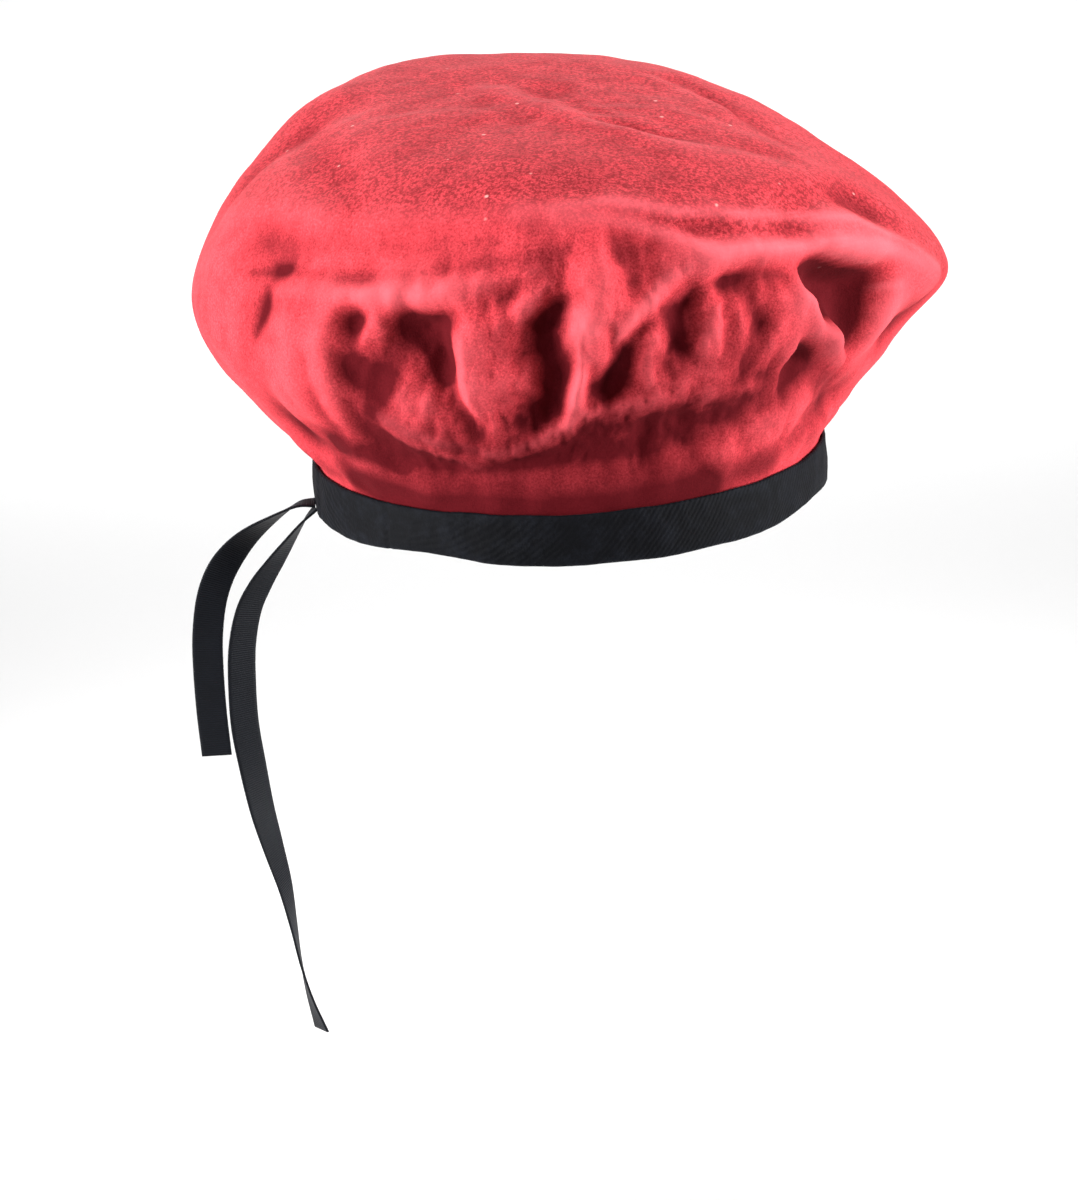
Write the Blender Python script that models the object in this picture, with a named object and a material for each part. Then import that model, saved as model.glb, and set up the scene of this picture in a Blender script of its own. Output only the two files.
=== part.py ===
"""A military beret as it is worn: a wool crown, its bound edge and two ribbon ties.

Metres, +Z up. The wearer faces -Y, and +X is the wearer's left. The origin is the middle of the
head opening, level with the lower edge of the binding.
"""
import math
from collections import namedtuple

import bmesh
import bpy
from mathutils import Vector

# Driving sizes
OPENING_WIDTH = 0.154        # head opening from side to side, inside the binding
OPENING_LENGTH = 0.192       # head opening from front to back
WIDEST_PLACE = 0.013         # how far behind the middle a head is widest
CROWN_WIDTH = 0.244          # the slumped crown from side to side
CROWN_LENGTH = 0.228         # the slumped crown from front to back
CROWN_HEIGHT = 0.130         # from the lower edge of the binding to the top
FELT_THICKNESS = 0.0022
BINDING_HEIGHT = 0.0165
BINDING_THICKNESS = 0.0012   # one leaf of the folded cloth tape
CLEARANCE = 0.0003           # between pieces that touch
RIBBON_WIDTH = 0.010
RIBBON_THICKNESS = 0.0008
FOLD_WIDTH = 0.010           # half the width of an ordinary fold in the cloth
FOLD_DEPTH = 0.013           # how far an ordinary fold stands out or sinks in
POCKET_DEPTH = 0.0105        # how far the back sinks in between its bulges
BULGE_SOFTNESS = 0.0011      # how softly two bulges meet
BULGE_FALL = 1.9             # how roundly a bulge falls away from its path
BULGE_ENDS = 0.35            # the share of its rise that a bulge loses at the ends of its path
HAND_BLEND = 0.004           # how near its path a bulge stops telling one hand from the other
EVENING_SHARE = 0.5          # how far a point is drawn to its neighbours' middle to round the folds
GATHER_DEPTH = 0.0012        # the small puckers sewn into the binding
GATHERS = 34                 # puckers round the opening
GATHER_REACH = 0.4           # how many stations up from the binding they are deepest
FOLD_FADE = 1.5              # how steeply the folds die away in the last station above the binding
LEAST_SQUARE_ON = 0.55       # the wall is no thicker than this allows where it slants
WELD = 1e-6                  # points closer than this are one

# How finely the solids are divided
COLUMNS = 96
ROWS_DOWN = 18               # rows of the crown's side, from its round cap to the binding
CAP_STATION = 1.55           # the place along the sections where the cap ends
HEM_ROWS = 1
RIBBON_STEPS = 26
EVENING_ROUNDS = 2           # rounds of evening that round the folds between their points
BACK_CROWDING = 0.46         # how much closer the columns stand at the folded back
SIDE_CROWDING = 0.38         # how much closer the rows stand half way down the side

# The crown's sections. Angles go round from the wearer's left by way of the back. Each place is
# a reach, as a share of the crown's half width or length, and a height, as a share of its height.
Section = namedtuple("Section", "angle crest shoulder rim flank belly tuck")
SECTIONS = (
    Section(0, (0.41, 0.965), (0.71, 0.870), (0.89, 0.715), (0.965, 0.54), (0.91, 0.37), (0.76, 0.215)),
    Section(30, (0.40, 0.960), (0.70, 0.88), (0.87, 0.75), (0.95, 0.58), (0.94, 0.41), (0.82, 0.230)),
    Section(60, (0.40, 0.950), (0.69, 0.90), (0.86, 0.79), (0.965, 0.60), (0.965, 0.36), (0.885, 0.220)),
    Section(90, (0.39, 0.945), (0.70, 0.91), (0.88, 0.82), (0.975, 0.61), (0.945, 0.35), (0.895, 0.215)),
    Section(120, (0.39, 0.935), (0.69, 0.88), (0.87, 0.80), (0.96, 0.60), (0.935, 0.38), (0.88, 0.220)),
    Section(150, (0.39, 0.925), (0.68, 0.85), (0.86, 0.75), (0.94, 0.56), (0.88, 0.36), (0.79, 0.220)),
    Section(180, (0.41, 0.925), (0.69, 0.80), (0.945, 0.62), (1.025, 0.475), (0.91, 0.350), (0.75, 0.220)),
    Section(210, (0.40, 0.950), (0.68, 0.86), (0.91, 0.69), (1.00, 0.53), (0.91, 0.38), (0.79, 0.230)),
    Section(240, (0.40, 0.980), (0.71, 0.92), (0.91, 0.79), (0.98, 0.64), (0.95, 0.43), (0.86, 0.240)),
    Section(270, (0.40, 1.000), (0.75, 0.96), (0.93, 0.84), (0.99, 0.66), (0.95, 0.44), (0.875, 0.240)),
    Section(300, (0.40, 1.000), (0.76, 0.98), (0.93, 0.83), (0.99, 0.65), (0.95, 0.42), (0.86, 0.235)),
    Section(330, (0.40, 0.985), (0.71, 0.95), (0.90, 0.78), (0.97, 0.60), (0.93, 0.39), (0.80, 0.225)),
)
LAST_STATION = len(Section._fields)
APEX_SHARE = 0.965
MIDDLE_SHARE = 0.45          # the height that folds are aimed from

# Bearings are an angle round the crown and a slope above or below its middle, in degrees. Widths
# and reaches are shares of FOLD_WIDTH, and depths and rises are shares of FOLD_DEPTH.

# Bulges of the crumpled back, which sinks to the pockets' floor between them. Left and right are a
# bulge's reaches to either hand of its path, seen from outside on the way along it, and rise is how
# far it stands out.
Bulge = namedtuple("Bulge", "path left right rise")
BULGES = (
    # The wearer's left side, and the cloth below the pockets
    Bulge(((22, -10), (21, 2), (20, 12)), 4.50, 3.40, 0.10),
    Bulge(((43, -10), (41.5, 1), (40, 11)), 2.60, 2.00, 0.12),
    Bulge(((49.5, -9), (48.5, -2), (48.5, 6), (50, 12)), 1.00, 0.90, 0.04),
    Bulge(((44, -14), (56, -18)), 1.70, 2.40, -0.12),
    Bulge(((66, -20), (82, -22), (100, -21)), 1.30, 2.40, -0.40),
    Bulge(((112, -18), (125, -14), (140, -11)), 1.70, 2.40, 0.00),
    # The roll above the pockets
    Bulge(((38, 14), (48, 15.5), (58, 16.5), (68, 17), (78, 17.5), (88, 18.5)), 3.40, 1.00, 0.25),
    Bulge(((104, 17), (113, 17.5), (122, 16.5), (130, 15)), 2.30, 1.00, 0.22),
    Bulge(((135, 16), (144, 14), (153, 11.5)), 2.40, 0.80, 0.20),
    # Ridges between the pockets, from the wearer's left to the right
    Bulge(((54.5, 5), (58, 9.5), (60, 13.5)), 0.80, 0.80, -0.10),
    Bulge(((52, 3.5), (59, 2)), 0.90, 0.90, -0.42),
    Bulge(((61, 0.5), (65, 1), (69, 0)), 0.80, 1.80, -0.22),
    Bulge(((76, -11), (73.5, -5), (72.3, 0), (72.2, 6), (73.5, 14)), 0.80, 2.40, 0.12),
    Bulge(((91, -8), (92.2, -2), (93, 3), (93.5, 8)), 0.80, 0.90, 0.10),
    Bulge(((94, 6), (94.8, 14), (95, 23)), 1.30, 1.60, 0.28),
    Bulge(((97, 6), (100, 10), (105, 13.5), (111, 16.5)), 0.80, 0.80, 0.12),
    Bulge(((112.8, 1), (113.5, 8), (112.5, 15)), 0.80, 0.80, 0.06),
    Bulge(((104, -2), (112, -1), (121, -2)), 1.20, 1.20, -0.24),
    Bulge(((107, 5), (118, 6), (128, 4)), 1.80, 1.80, -0.28),
    Bulge(((127, -2), (129.8, 3.5), (128.5, 8), (125, 12)), 0.90, 0.90, 0.03),
    # Either side of the three-cornered pocket at the wearer's right
    Bulge(((149, -5), (143, 0), (137, 5.5), (132, 11), (128, 15)), 0.90, 0.80, 0.20),
    Bulge(((151, -7), (154.5, 1), (156, 10)), 0.80, 2.80, 0.15),
    # The seam that runs round under the roll
    Bulge(((45, 3), (51, -1), (59, -6), (67, -9.5), (77, -12), (83, -11), (91, -6), (100, -4.5),
           (110, -4), (120, -4.5), (131, -6.5), (141, -6)), 0.80, 0.90, -0.08),
)

# Where the crumpled back fades in, is whole, starts to fade and is gone
Reach = namedtuple("Reach", "rising full falling gone")
CRUMPLED_AROUND = Reach(16, 36, 150, 166)
CRUMPLED_UP = Reach(-22, -14, 18, 27)

# Other folds, each a ridge (depth above 0) or a hollow (below 0) along a path of bearings
Fold = namedtuple("Fold", "path width depth")
FOLDS = (
    # The deepest places of the pockets
    Fold(((66, 10), (65, 6)), 0.75, -0.40),
    Fold(((88, 11), (87, 6)), 0.65, -0.35),
    Fold(((141, 10), (149, 6), (147, 1)), 0.90, -0.50),
    # Hollows across the roll
    Fold(((33, 16), (45, 17), (57, 17), (70, 19), (85, 20)), 0.70, -0.15),
    Fold(((33, 11), (31, 5)), 0.70, -0.25),
    Fold(((45, 4), (46, -3), (47, -9)), 0.70, -0.25),
    Fold(((99, 22), (102, 14)), 0.70, -0.20),
    Fold(((108, 23), (118, 21), (126, 19)), 0.85, -0.30),
    Fold(((173, -3), (160, -4)), 0.90, -0.40),
    # The back edge of the top
    Fold(((84, 26), (99, 28), (110, 26), (128, 23), (141, 19), (152, 14), (168, 6)), 0.90, 0.28),
    # The top and the sides
    Fold(((330, 72), (98, 66), (118, 50), (128, 42), (140, 36)), 1.30, 0.22),
    Fold(((110, 62), (128, 48), (138, 40), (150, 33)), 0.90, -0.22),
    Fold(((215, 52), (190, 44), (165, 34)), 0.90, -0.25),
    Fold(((0, 20), (345, 40)), 1.20, -0.20),
    Fold(((205, 12), (240, 4)), 0.90, -0.35),
    Fold(((225, 14), (262, 14)), 1.00, 0.25),
    Fold(((335, -4), (350, 8)), 0.90, -0.30),
    Fold(((285, -2), (318, 6)), 1.10, -0.30),
)

# The ties: points along each ribbon's middle, and how far its face has turned there from lying
# level (0) to facing the back (90), in degrees.
TiePoint = namedtuple("TiePoint", "x y z turn")
SHORT_TIE = (
    TiePoint(0.0825, 0.0215, 0.0030, 0),
    TiePoint(0.0885, 0.0215, 0.0026, 8),
    TiePoint(0.0970, 0.0205, -0.0020, 25),
    TiePoint(0.1055, 0.0195, -0.0080, 48),
    TiePoint(0.1120, 0.0185, -0.0150, 68),
    TiePoint(0.1162, 0.0175, -0.0220, 80),
    TiePoint(0.1192, 0.0165, -0.0305, 86),
    TiePoint(0.1212, 0.0158, -0.0420, 90),
    TiePoint(0.1219, 0.0152, -0.0540, 92),
    TiePoint(0.1220, 0.0150, -0.0680, 94),
    TiePoint(0.1215, 0.0150, -0.0830, 96),
)
LONG_TIE = (
    TiePoint(0.0825, 0.0215, 0.0012, 0),
    TiePoint(0.0870, 0.0230, -0.0030, 10),
    TiePoint(0.0915, 0.0240, -0.0085, 22),
    TiePoint(0.0965, 0.0245, -0.0150, 36),
    TiePoint(0.1020, 0.0250, -0.0225, 48),
    TiePoint(0.1065, 0.0250, -0.0310, 54),
    TiePoint(0.1095, 0.0245, -0.0430, 58),
    TiePoint(0.1106, 0.0240, -0.0560, 60),
    TiePoint(0.1108, 0.0235, -0.0700, 60),
    TiePoint(0.1095, 0.0230, -0.0840, 56),
    TiePoint(0.1075, 0.0225, -0.1000, 46),
    TiePoint(0.1048, 0.0220, -0.1140, 34),
    TiePoint(0.1020, 0.0215, -0.1280, 20),
    TiePoint(0.1003, 0.0210, -0.1420, 6),
    TiePoint(0.0990, 0.0205, -0.1550, -4),
    TiePoint(0.0968, 0.0205, -0.1680, -16),
    TiePoint(0.0938, 0.0205, -0.1800, -30),
)

# Cuts through the binding, from the head outwards
CLOTH_INSIDE = BINDING_THICKNESS + CLEARANCE
CLOTH_OUTSIDE = CLOTH_INSIDE + FELT_THICKNESS
BINDING_OUTSIDE = CLOTH_OUTSIDE + CLEARANCE + BINDING_THICKNESS
HEM_HEIGHT = BINDING_THICKNESS + CLEARANCE


def material(name, colour, roughness):
    """A plain cloth material."""
    made = bpy.data.materials.new(name)
    made.use_nodes = True
    shader = made.node_tree.nodes["Principled BSDF"]
    shader.inputs["Base Color"].default_value = (*colour, 1.0)
    shader.inputs["Roughness"].default_value = roughness
    shader.inputs["Metallic"].default_value = 0.0
    made.diffuse_color = (*colour, 1.0)
    return made


def finish(name, bm, cloth):
    """Put a bmesh into the scene as an object with one material."""
    mesh = bpy.data.meshes.new(name)
    bm.to_mesh(mesh)
    bm.free()
    mesh.materials.append(cloth)
    mesh.shade_smooth()
    made = bpy.data.objects.new(name, mesh)
    bpy.context.scene.collection.objects.link(made)
    return made


def blend(before, start, end, after, share):
    """A smooth curve from start to end that heads the way its neighbours lie."""
    bend = 2 * before - 5 * start + 4 * end - after
    twist = -before + 3 * start - 3 * end + after
    return start + 0.5 * share * ((end - before) + share * (bend + share * twist))


def round_table(angle, places):
    """Values between the rows of the section table, which closes on itself."""
    step = 360 / len(places)
    row = angle % 360 / step
    first = int(row)
    four = [places[(first + shift) % len(places)] for shift in (-1, 0, 1, 2)]
    return blend(*four, row - first)


def opening_reach(angle, offset):
    """How far the head opening's outline lies from its middle, widened by an offset."""
    across = OPENING_WIDTH / 2 + offset
    lengthwise = OPENING_LENGTH / 2 + offset
    east, north = math.cos(angle), math.sin(angle)
    for half in (lengthwise - WIDEST_PLACE, lengthwise + WIDEST_PLACE):
        square = (east / across) ** 2 + (north / half) ** 2
        cross = north * WIDEST_PLACE / half ** 2
        rest = (WIDEST_PLACE / half) ** 2 - 1
        reach = (cross + math.sqrt(cross ** 2 - square * rest)) / square
        if reach * north >= WIDEST_PLACE:
            break
    return reach


def crown_stations(angle):
    """Reach and height of the cloth at each station of one section, from the top to the binding."""
    degrees = math.degrees(angle)
    half = 1 / math.hypot(2 * math.cos(angle) / CROWN_WIDTH, 2 * math.sin(angle) / CROWN_LENGTH)
    stations = [Vector((0.0, APEX_SHARE * CROWN_HEIGHT))]
    for column in Section._fields[1:]:
        share = round_table(degrees, [Vector(getattr(row, column)) for row in SECTIONS])
        stations.append(Vector((share.x * half, share.y * CROWN_HEIGHT)))
    mouth = opening_reach(angle, CLOTH_OUTSIDE)
    stations.append(Vector((mouth, BINDING_HEIGHT)))
    stations.append(Vector((mouth, HEM_HEIGHT)))
    return stations


def crown_profile(stations, station):
    """A point on one section's smooth outline."""
    first = min(int(station), LAST_STATION - 1)
    before = stations[first - 1] if first else Vector((-stations[1].x, stations[1].y))
    return blend(before, stations[first], stations[first + 1], stations[first + 2], station - first)


def bearing(angle, slope):
    """The direction of a bearing given in degrees."""
    across = math.cos(math.radians(slope))
    return Vector((across * math.cos(math.radians(angle)),
                   across * math.sin(math.radians(angle)),
                   math.sin(math.radians(slope))))


Beside = namedtuple("Beside", "away hand along")


def beside_path(way, path):
    """How far one direction lies from a path of directions, to which hand, and how far along it."""
    lengths = [(end - start).length for start, end in zip(path, path[1:])]
    nearest = Beside(math.inf, 0.0, 0.0)
    travelled = 0.0
    for start, end, length in zip(path, path[1:], lengths):
        step = (end - start) / length
        covered = max(0.0, min(length, (way - start).dot(step)))
        apart = way - start - step * covered
        if apart.length < nearest.away:
            hand = apart.dot(way.cross(step)) / (apart.length + HAND_BLEND)
            nearest = Beside(apart.length, hand, (travelled + covered) / sum(lengths))
        travelled += length
    return nearest


def fold_lift(way, folds):
    """How far the folds, each with its path of directions, move the cloth out along one direction."""
    lift = 0.0
    for fold, path in folds:
        away = beside_path(way, path).away * CROWN_WIDTH / 2
        lift += fold.depth * FOLD_DEPTH * math.exp(-(away / (fold.width * FOLD_WIDTH)) ** 2)
    return lift


def bulge_lift(way, bulges):
    """How far the bulges and the pockets between them move the cloth out along one direction."""
    heights = [0.0]
    for bulge, path in bulges:
        away, hand, along = beside_path(way, path)
        reach = (bulge.left + bulge.right + (bulge.left - bulge.right) * hand) / 2
        fall = (away * CROWN_WIDTH / 2 / (reach * FOLD_WIDTH)) ** BULGE_FALL
        ends = 1 - BULGE_ENDS * abs(2 * along - 1) ** 3
        heights.append((bulge.rise * FOLD_DEPTH + POCKET_DEPTH) * ends * math.exp(-fall))
    highest = max(heights)
    meeting = sum(math.exp((height - highest) / BULGE_SOFTNESS) for height in heights)
    return highest + BULGE_SOFTNESS * (math.log(meeting) - 1) - POCKET_DEPTH


def ease(value, low, high):
    """A smooth step from 0 at one value to 1 at another."""
    share = max(0.0, min(1.0, (value - low) / (high - low)))
    return share * share * (3 - 2 * share)


def within(value, reach):
    """1 inside a reach, fading to 0 outside it."""
    return ease(value, reach.rising, reach.full) * (1 - ease(value, reach.falling, reach.gone))


def build_crown(cloth):
    """The wool crown: one hollow shell, open at the head, whose edge runs down into the binding."""
    middle = Vector((0.0, 0.0, MIDDLE_SHARE * CROWN_HEIGHT))
    folds = [(fold, [bearing(*point) for point in fold.path]) for fold in FOLDS]
    bulges = [(bulge, [bearing(*point) for point in bulge.path]) for bulge in BULGES]
    bm = bmesh.new()
    segments = COLUMNS // 4
    bmesh.ops.create_grid(bm, x_segments=segments, y_segments=segments, size=1.0)
    angle_of = bm.verts.layers.float.new("angle")
    station_of = bm.verts.layers.float.new("station")
    for vert in bm.verts:
        turn, ring = square_to_round(vert.co.x, vert.co.y)
        vert[angle_of] = crowd(turn)
        vert[station_of] = ring * CAP_STATION

    steps = [side_station(row / ROWS_DOWN) for row in range(1, ROWS_DOWN + 1)]
    steps += [LAST_STATION + row / HEM_ROWS for row in range(1, HEM_ROWS + 1)]
    for station in steps:
        rim = [edge for edge in bm.edges if edge.is_boundary]
        grown = bmesh.ops.extrude_edge_only(bm, edges=rim)["geom"]
        for vert in grown:
            if isinstance(vert, bmesh.types.BMVert):
                vert[station_of] = station

    for vert in bm.verts:
        vert.co = crown_point(middle, folds, bulges, vert[angle_of], vert[station_of])
    loose = [vert for vert in bm.verts if vert[station_of] < LAST_STATION]
    for _ in range(EVENING_ROUNDS):
        bmesh.ops.smooth_vert(bm, verts=loose, factor=EVENING_SHARE,
                              use_axis_x=True, use_axis_y=True, use_axis_z=True)
    bmesh.ops.recalc_face_normals(bm, faces=bm.faces)
    bm.normal_update()

    lining = bmesh.ops.duplicate(bm, geom=bm.verts[:] + bm.edges[:] + bm.faces[:])["geom"]
    inner_faces = [item for item in lining if isinstance(item, bmesh.types.BMFace)]
    inner_verts = [item for item in lining if isinstance(item, bmesh.types.BMVert)]
    for vert in inner_verts:
        vert.co = wall_inside(middle, vert)
    bmesh.ops.reverse_faces(bm, faces=inner_faces)
    hems = [edge for edge in bm.edges if edge.is_boundary]
    bmesh.ops.bridge_loops(bm, edges=hems)
    bmesh.ops.recalc_face_normals(bm, faces=bm.faces)
    return finish("crown", bm, cloth)


def square_to_round(across, up):
    """The angle and ring of a point on a square grid that is opened out into a round one."""
    if across == 0 and up == 0:
        return 0.0, 0.0
    if abs(across) >= abs(up):
        turn = math.pi / 4 * up / across + (math.pi if across < 0 else 0.0)
        return turn, abs(across)
    turn = math.pi / 2 - math.pi / 4 * across / up + (math.pi if up < 0 else 0.0)
    return turn, abs(up)


def crowd(turn):
    """Draw the columns towards the back of the crown, where the folds are."""
    return turn + BACK_CROWDING * math.cos(turn)


def side_station(share):
    """The station of a row a share of the way down the side, drawn towards the side's middle."""
    drawn = share + SIDE_CROWDING * math.sin(math.tau * share) / math.tau
    return CAP_STATION + (LAST_STATION - CAP_STATION) * drawn


def crown_point(middle, folds, bulges, angle, station):
    """Where the cloth's outer face lies, folds, bulges and gathers included."""
    stations = crown_stations(angle)
    if station > LAST_STATION:
        mouth, hem = stations[LAST_STATION], stations[LAST_STATION + 1]
        flat = mouth + (hem - mouth) * (station - LAST_STATION)
        return Vector((flat.x * math.cos(angle), flat.x * math.sin(angle), flat.y))
    flat = crown_profile(stations, station)
    place = Vector((flat.x * math.cos(angle), flat.x * math.sin(angle), flat.y))
    way = (place - middle).normalized()
    above = LAST_STATION - station
    gather = GATHER_DEPTH * math.cos(GATHERS * angle) * above * math.exp(1 - above / GATHER_REACH)
    slope = math.degrees(math.asin(way.z))
    crumpled = within(math.degrees(angle) % 360, CRUMPLED_AROUND) * within(slope, CRUMPLED_UP)
    lift = fold_lift(way, folds)
    if crumpled > 0:
        lift += crumpled * bulge_lift(way, bulges)
    return place + way * (lift * min(1.0, above) ** FOLD_FADE + gather)


def wall_inside(middle, vert):
    """The inner face's point behind an outer one, a wall's thickness further in."""
    if vert.co.z <= BINDING_HEIGHT + CLEARANCE:
        flat = Vector((vert.co.x, vert.co.y, 0.0)).normalized()
        return vert.co - flat * FELT_THICKNESS
    way = (vert.co - middle).normalized()
    square_on = max(LEAST_SQUARE_ON, way.dot(vert.normal))
    return vert.co - way * FELT_THICKNESS / square_on


def build_binding(cloth):
    """The cloth tape folded round the crown's edge, open upwards to take it."""
    bm = bmesh.new()
    channel = HEM_HEIGHT - CLEARANCE
    outline = (
        (0.0, 0.0),
        (BINDING_OUTSIDE, 0.0),
        (BINDING_OUTSIDE, BINDING_HEIGHT),
        (BINDING_OUTSIDE - BINDING_THICKNESS, BINDING_HEIGHT),
        (BINDING_OUTSIDE - BINDING_THICKNESS, channel),
        (BINDING_THICKNESS, channel),
        (BINDING_THICKNESS, BINDING_HEIGHT),
        (0.0, BINDING_HEIGHT),
    )
    reach = OPENING_WIDTH / 2
    ring = [bm.verts.new((reach + offset, 0.0, height)) for offset, height in outline]
    edges = [bm.edges.new((ring[place - 1], ring[place])) for place in range(len(ring))]
    bmesh.ops.spin(bm, geom=ring + edges, cent=(0, 0, 0), axis=(0, 0, 1), angle=math.tau,
                   steps=COLUMNS, use_merge=True)
    bmesh.ops.remove_doubles(bm, verts=bm.verts, dist=WELD)
    for vert in bm.verts:
        angle = crowd(math.atan2(vert.co.y, vert.co.x))
        offset = math.hypot(vert.co.x, vert.co.y) - reach
        place = opening_reach(angle, offset)
        vert.co = Vector((place * math.cos(angle), place * math.sin(angle), vert.co.z))
    bmesh.ops.recalc_face_normals(bm, faces=bm.faces)
    return finish("binding", bm, cloth)


def tie_route(points, steps):
    """Evenly counted points on a smooth curve through a tie's own points, with the turn at each."""
    rows = [Vector(point) for point in points]
    rows = [2 * rows[0] - rows[1]] + rows + [2 * rows[-1] - rows[-2]]
    spans = len(points) - 1
    route = []
    for step in range(steps + 1):
        place = step * spans / steps
        first = min(int(place), spans - 1)
        route.append(blend(*rows[first:first + 4], place - first))
    return route


def ribbon_corners(route, step):
    """The four corners of a ribbon's cut at one step of its route."""
    row = route[step]
    along = (route[min(step + 1, len(route) - 1)].xyz - route[max(step - 1, 0)].xyz).normalized()
    level = (Vector((0, 1, 0)) - along * along.y).normalized()
    upright = along.cross(level)
    turn = math.radians(row.w)
    across = (level * math.cos(turn) + upright * math.sin(turn)) * RIBBON_WIDTH / 2
    through = along.cross(across).normalized() * RIBBON_THICKNESS / 2
    return [row.xyz + across + through, row.xyz - across + through,
            row.xyz - across - through, row.xyz + across - through]


def build_tie(name, points, cloth):
    """A flat ribbon that hangs from the binding, cut square at its end."""
    route = tie_route(points, RIBBON_STEPS)
    bm = bmesh.new()
    corners = ribbon_corners(route, 0)
    end = bm.faces.new([bm.verts.new(corner) for corner in corners])
    for step in range(1, len(route)):
        last = end
        grown = bmesh.ops.extrude_face_region(bm, geom=[last])["geom"]
        end = next(item for item in grown if isinstance(item, bmesh.types.BMFace))
        if step > 1:
            bmesh.ops.delete(bm, geom=[last], context="FACES_ONLY")
        moved = ribbon_corners(route, step)
        for vert in end.verts:
            nearest = min(range(4), key=lambda place: (vert.co - corners[place]).length)
            vert.co = moved[nearest]
        corners = moved
    bmesh.ops.recalc_face_normals(bm, faces=bm.faces)
    return finish(name, bm, cloth)


def build():
    """Clear the scene and make every piece."""
    for thing in list(bpy.data.objects):
        bpy.data.objects.remove(thing)
    wool = material("red_wool", (0.52, 0.02, 0.035), 0.9)
    tape = material("black_tape", (0.012, 0.013, 0.016), 0.6)
    build_crown(wool)
    build_binding(tape)
    build_tie("tie_short", SHORT_TIE, tape)
    build_tie("tie_long", LONG_TIE, tape)


if __name__ == "__main__":
    build()
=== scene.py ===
"""A crumpled wool military beret with a black bound edge and two ribbon ties, in a pale studio.

Metres, +Z up. The wearer faces -Y and +X is the wearer's left. The origin is the middle of the
head opening, level with the lower edge of the binding.
"""
import math
from collections import namedtuple

import bmesh
import bpy
import numpy as np
from bpy.props import FloatProperty, FloatVectorProperty, IntProperty, PointerProperty
from mathutils import Matrix, Vector, noise


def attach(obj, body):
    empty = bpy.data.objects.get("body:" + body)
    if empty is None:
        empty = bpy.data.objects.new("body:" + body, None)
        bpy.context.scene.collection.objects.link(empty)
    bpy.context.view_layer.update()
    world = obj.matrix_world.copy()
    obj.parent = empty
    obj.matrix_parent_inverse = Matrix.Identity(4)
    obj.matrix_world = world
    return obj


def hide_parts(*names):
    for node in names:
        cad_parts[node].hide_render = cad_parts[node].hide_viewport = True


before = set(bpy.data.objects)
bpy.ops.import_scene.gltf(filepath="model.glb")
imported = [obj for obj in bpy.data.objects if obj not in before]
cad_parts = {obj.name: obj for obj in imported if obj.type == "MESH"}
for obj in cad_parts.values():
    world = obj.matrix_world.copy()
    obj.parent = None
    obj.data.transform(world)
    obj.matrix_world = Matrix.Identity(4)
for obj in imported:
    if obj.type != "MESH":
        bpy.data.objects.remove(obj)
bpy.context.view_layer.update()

bl_info = {
    "name": "Wool Beret",
    "version": (1, 0, 0),
    "blender": (4, 5, 0),
    "location": "View3D > Sidebar > Beret",
    "description": "Builds a crumpled wool beret with its binding, ties and studio",
    "category": "Add Mesh",
}

BODY = "root"

# Places shared by the crown, the binding and the ties
WIDEST_PLACE = 0.013         # how far behind the middle the head opening is widest
CLEARANCE = 0.0003
APEX_SHARE = 0.965
MIDDLE_SHARE = 0.45          # the height that folds are aimed from
BACK_CROWDING = 0.62
SIDE_CROWDING = 0.38
CAP_STATION = 1.25

# The crown's sections. Angles go round from the wearer's left by way of the back. Each place is
# a reach, as a share of the crown's half width or length, and a height, as a share of its height.
Section = namedtuple("Section", "angle crest shoulder rim flank belly tuck")
SECTIONS = (
    Section(0, (0.41, 0.965), (0.71, 0.870), (0.89, 0.715), (0.965, 0.54), (0.91, 0.37), (0.76, 0.215)),
    Section(30, (0.40, 0.960), (0.70, 0.88), (0.87, 0.75), (0.95, 0.58), (0.94, 0.41), (0.82, 0.230)),
    Section(60, (0.40, 0.950), (0.69, 0.90), (0.86, 0.79), (0.965, 0.60), (0.965, 0.36), (0.885, 0.220)),
    Section(90, (0.39, 0.945), (0.70, 0.91), (0.88, 0.82), (0.975, 0.61), (0.945, 0.35), (0.895, 0.215)),
    Section(120, (0.39, 0.935), (0.69, 0.88), (0.87, 0.80), (0.96, 0.60), (0.935, 0.38), (0.88, 0.220)),
    Section(150, (0.39, 0.925), (0.68, 0.85), (0.86, 0.75), (0.94, 0.56), (0.88, 0.36), (0.79, 0.220)),
    Section(180, (0.41, 0.925), (0.69, 0.80), (0.945, 0.62), (1.025, 0.475), (0.91, 0.350), (0.75, 0.220)),
    Section(210, (0.40, 0.950), (0.68, 0.86), (0.91, 0.69), (1.00, 0.53), (0.91, 0.38), (0.79, 0.230)),
    Section(240, (0.40, 0.980), (0.71, 0.92), (0.91, 0.79), (0.98, 0.64), (0.95, 0.43), (0.86, 0.240)),
    Section(270, (0.40, 1.000), (0.75, 0.96), (0.93, 0.84), (0.99, 0.66), (0.95, 0.44), (0.875, 0.240)),
    Section(300, (0.40, 1.000), (0.76, 0.98), (0.93, 0.83), (0.99, 0.65), (0.95, 0.42), (0.86, 0.235)),
    Section(330, (0.40, 0.985), (0.71, 0.95), (0.90, 0.78), (0.97, 0.60), (0.93, 0.39), (0.80, 0.225)),
)
LAST_STATION = len(Section._fields)

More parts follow.
